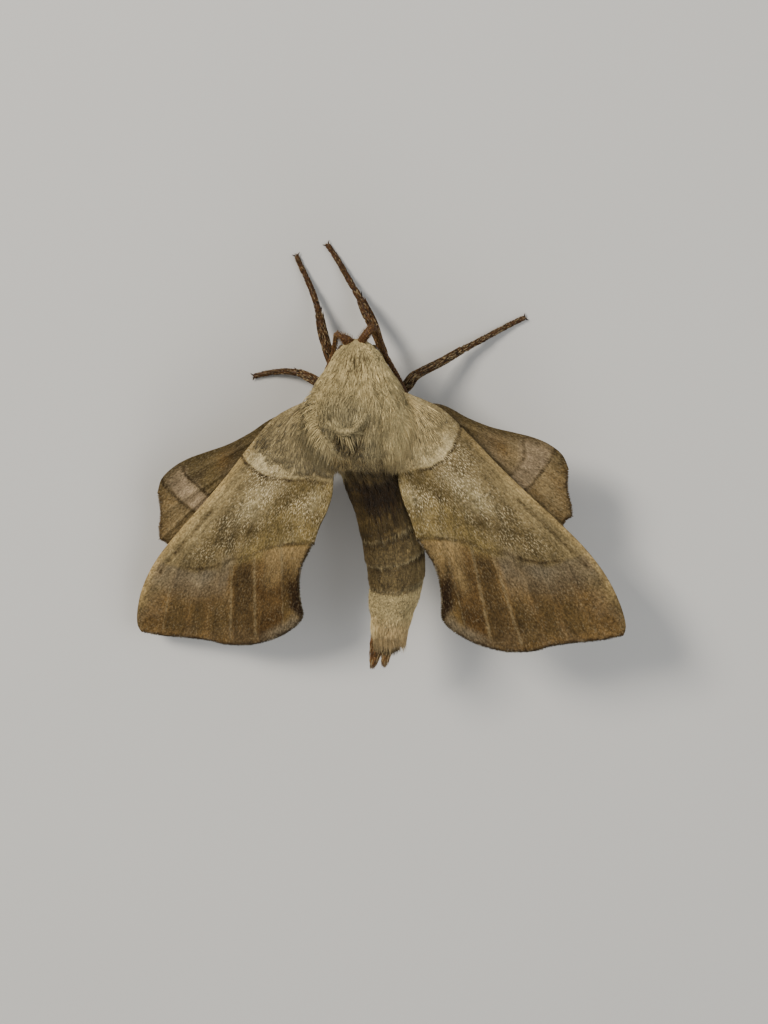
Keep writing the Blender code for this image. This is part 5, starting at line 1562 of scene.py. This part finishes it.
def tube_piece(name, material, line, radii, sides, tint, floor=-FAR):
    """A round limb through points with their own radii, closed at both ends."""
    rings = len(line)
    turns = np.linspace(0, 2 * np.pi, sides, endpoint=False)
    at, angle = (a.ravel() for a in np.meshgrid(np.arange(rings), turns, indexing="ij"))
    points, _, _ = tube_at(line, radii, tube_frames(line), at, angle)
    points[:, 2] = np.maximum(points[:, 2], floor)
    points = np.concatenate([points, line[:1], line[-1:]])
    shade = np.broadcast_to(np.array(tint), (len(points), 3)).copy()
    place = tube_place(np.append(angle, (0.0, 0.0)), np.append(at / rings, (0.0, 1.0)))
    return new_piece(name, points, capped_tube(rings, sides), material, {"tint": shade}, place)


def tube_tufts(name, material, slot, line, radii, tints, shape):
    """Short scales or hairs that lie along a tube, one for each tint."""
    frames = tube_frames(line)
    last = len(line) - 1
    count = len(tints)
    at = rng.uniform(0, last * 0.995, count)
    angle = rng.uniform(0, 2 * np.pi, count)
    share = at / last
    long, wide, high = (eased(rows, share)[0] for rows in shape)
    long = long * rng.uniform(0.7, 1.2, count)
    spacing = np.linalg.norm(np.diff(line, axis=0), axis=1).mean()
    roots, outward, _ = tube_at(line, radii, frames, at, angle, -0.03)
    middles, _, _ = tube_at(line, radii, frames, np.minimum(at + long / spacing / 2, last), angle, high)
    ends = at + long / spacing
    turn = angle + rng.normal(size=count) * 0.15
    high = high * rng.uniform(0.5, 1.1, count)
    tips, _, along = tube_at(line, radii, frames, np.minimum(ends, last), turn, high)
    tips += along * (np.maximum(ends - last, 0) * spacing)[:, None]
    for rows in (roots, middles, tips):
        rows[:, 2] = np.maximum(rows[:, 2], FOOT_CLEAR)
    tuft_piece(name, material, slot, roots, middles, tips, outward, wide, tints, tube_place(angle, share))


def leg_tints(name, count):
    """Rust brown scales with pale and dark ones strewn among them."""
    tints = np.broadcast_to(np.array(LEG_BROWN), (count, 3)).copy()
    tints[rng.uniform(0, 1, count) < PALE_SCALES.get(name, PALE_SHARE)] = LEG_PALE
    tints[rng.uniform(0, 1, count) < DARK_SHARE] = LEG_DARK
    return varied(tints, 0.2, count)


def make_leg(name):
    """A scaled leg: thigh and shin in one run, spurs, five toe joints and a pair of claws."""
    shin, toes = LEGS[name]
    upper = resampled(shin, SHIN_STEP)
    lower = resampled(toes, TOE_STEP)[:-CLAW_ROOM]
    joints = np.linspace(0, TOE_JOINTS, len(lower))
    lower[:, 3] *= TOE_FLARE[0] + TOE_FLARE[1] * (joints % 1.0) ** 0.7
    lower[-1, 3] *= TOE_END
    knee = np.exp(-((np.arange(len(upper)) - len(upper) * KNEE_AT) / KNEE_REACH) ** 2)
    shin_radii = upper[:, 3] * LEG_CORE * (1 - KNEE_PINCH * knee)
    for part, rows, radii in (("shin", upper, shin_radii), ("toes", lower, lower[:, 3] * LEG_CORE)):
        line = rows[:, :3]
        core = tube_piece(f"{name}_{part}", CHITIN, line, radii, LEG_SIDES, RUST_SKIN, 0.0)
        if part == "shin":
            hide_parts(name)
        area = 2 * np.pi * radii.mean() * np.linalg.norm(np.diff(line, axis=0), axis=1).sum()
        tints = leg_tints(name, int(area * LEG_SCALES))
        tube_tufts(f"{name}_{part}_scales", SCALES, "leg", line, radii, tints, LIMB_SCALES[part])
    make_horns(name, upper, lower)


def make_horns(name, upper, lower):
    """The shin's spurs, the spines at each toe joint and the two claws, all bare and dark."""
    horns = []
    heel = upper[-1, :3]
    ahead = unit(lower[3, :3] - heel)
    across = unit(np.cross(ahead, UP))
    for hand, share in ((1, 1.0), (-1, 0.75)):
        aim = unit(ahead + across * 0.55 * hand - UP * 0.25)
        horns.append((heel - aim * 0.1, heel + aim * SPUR_LENGTH * 0.5 - UP * 0.03,
                      heel + aim * SPUR_LENGTH * share, SPUR_WIDTH))
    step = (len(lower) - 1) / TOE_JOINTS
    for joint in range(1, TOE_JOINTS):
        k = int(joint * step)
        here = lower[k, :3]
        ahead = unit(lower[k + 2, :3] - here)
        across = unit(np.cross(ahead, UP))
        for hand in (1, -1):
            root = here + across * hand * lower[k, 3] * 0.6 - UP * 0.04
            horns.append((root, root + ahead * 0.1 + across * hand * 0.06,
                          root + ahead * 0.26 + across * hand * 0.12, SPINE_WIDTH))
    toe = lower[-1, :3]
    ahead = unit(toe - lower[-4, :3])
    across = unit(np.cross(ahead, UP))
    for hand in (1, -1):
        root = toe - ahead * 0.08 + across * hand * 0.06
        horns.append((root, root + ahead * CLAW_LENGTH * 0.6 + across * hand * 0.22 + UP * 0.1,
                      root + ahead * CLAW_LENGTH * 0.8 + across * hand * 0.34 - UP * 0.08, CLAW_WIDTH))
    *lines, widths = (np.array(rows) for rows in zip(*horns))
    for rows in lines:
        rows[:, 2] = np.maximum(rows[:, 2], FOOT_CLEAR)
    count = len(horns)
    tints = np.broadcast_to(np.array(DEEP_BROWN), (count, 3)) * 0.8
    place = np.stack([np.linspace(0.02, 0.95, count), np.full(count, 0.9)], -1)
    tuft_piece(f"{name}_claws", CHITIN, "leg", *lines, UP, widths, tints, place)


def make_antenna(label):
    """A stout ringed feeler with short side branches under it and flat scales over it."""
    line = resampled(ANTENNA_PATHS[label], ANTENNA_RING / 4)
    last = len(line)
    pinched = np.arange(last) % 4 == 0
    radii = eased(ANTENNA_RADII[label], np.linspace(0, 1, last))[0] * (1 - ANTENNA_PINCH * pinched)
    radii[0] *= 0.6
    name = f"antenna_{label}"
    shaft = tube_piece(f"{name}_shaft", CHITIN, line, radii, ANTENNA_SIDES, RUST_SKIN)
    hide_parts(name)
    tints = varied(FEELER_RUST, 0.25, FEELER_SCALES)
    tints[rng.uniform(0, 1, FEELER_SCALES) < 0.25] = LEG_BROWN
    tube_tufts(f"{name}_scales", SCALES, "antenna", line, radii, tints, LIMB_SCALES["antenna"])
    rows = np.arange(10, last - 6, 2)
    at = np.repeat(rows, len(BRANCH_DEGREES)).astype(float)
    count = len(at)
    angle = np.tile(np.radians(BRANCH_DEGREES), len(rows)) + rng.normal(size=count) * 0.08
    roots, outward, along = tube_at(line, radii, tube_frames(line), at, angle, -0.04)
    reach = BRANCH_LENGTH * fade(at, last, last * 0.6) * rng.uniform(0.8, 1.1, count) + 0.06
    tips = roots + outward * reach[:, None] + along * 0.12
    middles = (roots + tips) / 2 - along * 0.04
    tints = varied(np.array(FEELER_RUST) * 0.8, 0.15, count)
    tuft_piece(f"{name}_branches", SCALES, "antenna", roots, middles, tips, along, BRANCH_WIDTH, tints,
               tube_place(angle, at / last))


# Head: eyes, palps and the hair round them
def make_eye(label, side):
    """A faceted eye and the short hair that rims it."""
    work = bmesh.new()
    bmesh.ops.create_icosphere(work, subdivisions=5, radius=1.0)
    points = np.array([v.co for v in work.verts])
    faces = np.array([[v.index for v in f.verts] for f in work.faces])
    work.free()
    tint = paint(np.array(EYE_BLACK), fade(points[:, 2], -0.8, 0.9), EYE_BROWN)
    centre = (np.array(EYE_AT) + EYE_SET) * (side, 1, 1) + (HEAD_X, 0, 0)
    eye = new_piece(f"eye_{label}_facets", points * EYE_SHOWN + centre, faces, EYE, {"tint": tint})
    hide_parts(f"eye_{label}")
    count = EYE_RIM_TUFTS
    turn = rng.uniform(0, 2 * np.pi, count)
    ring = np.stack([np.full(count, side * 0.1), np.cos(turn), np.sin(turn)], -1)
    rim = centre + ring * np.array(EYE_SHOWN)
    tips = rim + np.stack([np.full(count, side * 0.22), np.cos(turn) * 0.1 + 0.15, np.sin(turn) * 0.12], -1)
    roots = rim - (side * 0.25, 0.0, 0.0) - ring * 0.1
    middles = (roots + tips) / 2 + ring * 0.12
    place = np.stack([turn / (2 * np.pi) * TUBE_UNWRAP, np.full(count, 0.05)], -1)
    tuft_piece(f"eye_{label}_rim", FUR, "fur", roots, middles, tips, unit(ring), 0.07,
               varied(OLIVE_FUR, 0.2, count), place)


def make_brow(label, side):
    """Hair from the crown that lies over the top of the eye."""
    count = BROW_TUFTS
    y, angle = flank_places(side, BROW_SPAN, BROW_DEGREES, count)
    outward = trunk_normal(y, angle)[0]
    roots = trunk_point(y, angle)
    reach = eased(BROW_REACH, y)[0] * rng.uniform(0.3, 1.1, count)
    tips = roots + np.stack([side * reach, rng.uniform(0.6, 1.3, count), -reach * 0.3], -1)
    middles = (roots + tips) / 2 + outward * 0.18
    tints = varied(trunk_tint(y, angle), 0.12, count)
    tuft_piece(f"brow_{label}", FUR, "fur", roots - outward * COAT_SINK, middles, tips, outward,
               rng.uniform(*HAIR_WIDTHS, count), tints, trunk_place(y, angle))


def make_palp(label, side):
    """A short blunt feeler of the mouth, bowed upwards and furred all round."""
    root, tip = (np.array((side * x, y, z)) for x, y, z in (PALP_ROOT, PALP_TIP))
    share = np.linspace(0, 1, 24)
    line = root + (tip - root) * share[:, None] + UP * (0.12 * np.sin(share * np.pi))[:, None]
    radii = PALP_RADIUS * eased(PALP_TAPER, share)[0]
    palp = tube_piece(f"palp_{label}_core", SKIN, line, radii, PALP_SIDES, OLIVE_FUR)
    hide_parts(f"palp_{label}")
    tints = varied(np.array(GOLD_FUR) * 0.8, 0.2, PALP_TUFTS)
    tube_tufts(f"palp_{label}_hair", FUR, "fur", line, radii, tints, LIMB_SCALES["palp"])


# Tail
def make_broom():
    """The broom of straight golden hairs round the tail's end, and the dark ones inside it, darker still as
    painted shade in the hollow.
    """
    count = BROOM_TUFTS
    y = rng.uniform(*BROOM_ROOTS, count)
    angle = rng.uniform(0, 2 * np.pi, count)
    outward = trunk_normal(y, angle)[0]
    roots = trunk_point(y, angle)
    aim = angle + rng.normal(size=count) * 0.12
    size = rng.uniform(0.72, 1.02, count)
    end_y = BROOM_END[1] + rng.normal(size=count) * 0.28 - 0.5 * fade(size, 0.9, 0.7) + 0.35 * np.cos(aim)
    tips = np.stack([BROOM_END[0] + BROOM_RADII[0] * size * np.cos(aim), end_y,
                     BROOM_END[2] + BROOM_RADII[1] * size * np.sin(aim)], -1)
    middles = (roots + tips) / 2 + outward * 0.16
    tints = varied(trunk_tint(y, angle), 0.16, count)
    tuft_piece("tail_broom", FUR, "tuft", roots - outward * HAIR_SINK, middles, tips, outward,
               rng.uniform(*HAIR_WIDTHS, count), tints, trunk_place(y, angle))
    count = HOLLOW_TUFTS
    y = rng.uniform(*HOLLOW_ROOTS, count)
    angle = rng.uniform(0, 2 * np.pi, count)
    outward = trunk_normal(y, angle)[0]
    roots = trunk_point(y, angle)
    tips = roots + np.array((0.0, 0.8, 0.0)) + outward * 0.1 + rng.normal(size=(count, 3)) * 0.12
    # Dark hair inside the hollow, darkened further as painted shade
    tuft_piece("tail_hollow", FUR, "tuft", roots, (roots + tips) / 2, tips, outward, 0.09,
               varied(np.array(OLIVE_FUR) * 0.7, 0.25, count), trunk_place(y, angle))


def make_prong(number, root, tip, girth, gold_share):
    """A rusty prong out of the tail: hairs along its line that draw together towards its tip."""
    count = PRONG_TUFTS
    turn = rng.uniform(0, 2 * np.pi, count)
    spread = np.sqrt(rng.uniform(0, 1, count)) * girth
    disc = np.stack([spread * np.cos(turn), np.zeros(count), spread * np.sin(turn)], -1)
    begun = rng.uniform(0.0, 0.7, count)[:, None]
    way = np.array(tip) - np.array(root)
    roots = np.array(root) + way * begun + disc * (1 - 0.85 * begun)
    reach = np.minimum(begun[:, 0] + rng.uniform(0.25, 0.5, count), 1.0)[:, None]
    curl = rng.normal(size=(count, 3)) * (0.1, 0.03, 0.1)
    tips = np.array(root) + way * reach + disc * (1 - 0.88 * reach) + curl
    middles = (roots + tips) / 2 + disc * 0.2
    tints = varied(RUST_FUR, 0.25, count)
    tints[rng.uniform(0, 1, count) < gold_share] = np.array(GOLD_FUR) * 0.8
    place = np.stack([turn / (2 * np.pi) * 0.9, np.full(count, 0.97)], -1)
    tuft_piece(f"tail_prong_{number}", FUR, "tuft", roots, middles, tips, UP, rng.uniform(0.05, 0.085, count),
               tints, place)


for wing_side in SIDES:
    for wing_kind in ("forewing", "hindwing"):
        make_wing(wing_side, wing_kind)
make_skin()
make_coat()
make_shoulders()
make_lip()
make_base_hairs()
make_broom()
for prong_number, prong in enumerate(PRONGS):
    make_prong(prong_number, *prong)
for head_side, hand in SIDES.items():
    make_eye(head_side, hand)
    make_brow(head_side, hand)
    make_palp(head_side, hand)
    make_antenna(head_side)
for leg_name in LEGS:
    make_leg(leg_name)


# Camera, lights and floor
def make_camera():
    """The photo's view: from above at a slight tilt, with the head towards the top of the picture."""
    data = bpy.data.cameras.new("photo_camera")
    data.lens = CAMERA_LENS
    data.sensor_width = CAMERA_SENSOR
    data.clip_start, data.clip_end = CAMERA_CLIP
    tilt = math.radians(CAMERA_TILT)
    right = Vector((-1, 0, 0))
    up = Vector((0, -math.cos(tilt), -math.sin(tilt)))
    back = right.cross(up)
    turn = Matrix((right, up, back)).transposed().to_4x4()
    camera = bpy.data.objects.new("photo_camera", data)
    camera.matrix_world = Matrix.Translation(Vector(CAMERA_AT) * MM) @ turn
    bpy.context.scene.collection.objects.link(camera)
    bpy.context.scene.camera = camera


def make_light(name, at, size, power, colour):
    """A square soft light that looks at the moth."""
    data = bpy.data.lights.new(name, "AREA")
    data.size = size
    data.energy = power
    data.color = colour
    light = bpy.data.objects.new(name, data)
    light.location = at
    light.rotation_euler = (-Vector(at)).to_track_quat("-Z", "Y").to_euler()
    bpy.context.scene.collection.objects.link(light)


def make_stage():
    """A pale floor that fades far off into the sky's own colour, and that plain sky."""
    material, tree, shader = new_material("floor", 0.9)
    mottle = span(tree, noise(tree, place_in(tree), 40.0), *NOISE_SPAN, 0.0, 0.25)
    tone = node(tree, "Mix", "Result", {"Factor": mottle, "A": FLOOR_PALE, "B": FLOOR_DARK}, data_type="RGBA")
    tree.links.new(tone, shader.inputs["Base Color"])
    far = node(tree, "VectorMath", "Value", {0: place_in(tree)}, operation="LENGTH")
    veil = span(tree, far, *HAZE_SPAN, 0.0, 1.0)
    haze = node(tree, "Emission", "Emission", {"Color": SKY, "Strength": SKY_STRENGTH})
    hazy = node(tree, "MixShader", "Shader", {"Fac": veil, 1: shader.outputs["BSDF"], 2: haze})
    tree.links.new(hazy, tree.nodes["Material Output"].inputs["Surface"])
    mesh = bpy.data.meshes.new("floor")
    work = bmesh.new()
    bmesh.ops.create_grid(work, x_segments=8, y_segments=8, size=FLOOR_REACH)
    work.to_mesh(mesh)
    work.free()
    mesh.materials.append(material)
    floor = bpy.data.objects.new("floor", mesh)
    bpy.context.scene.collection.objects.link(floor)
    world = bpy.data.worlds.new("studio")
    world.use_nodes = True
    sky = world.node_tree.nodes["Background"]
    sky.inputs["Color"].default_value = SKY
    sky.inputs["Strength"].default_value = SKY_STRENGTH
    bpy.context.scene.world = world


make_camera()
for lamp_name, lamp in LIGHTS.items():
    make_light(lamp_name, *lamp)
make_stage()
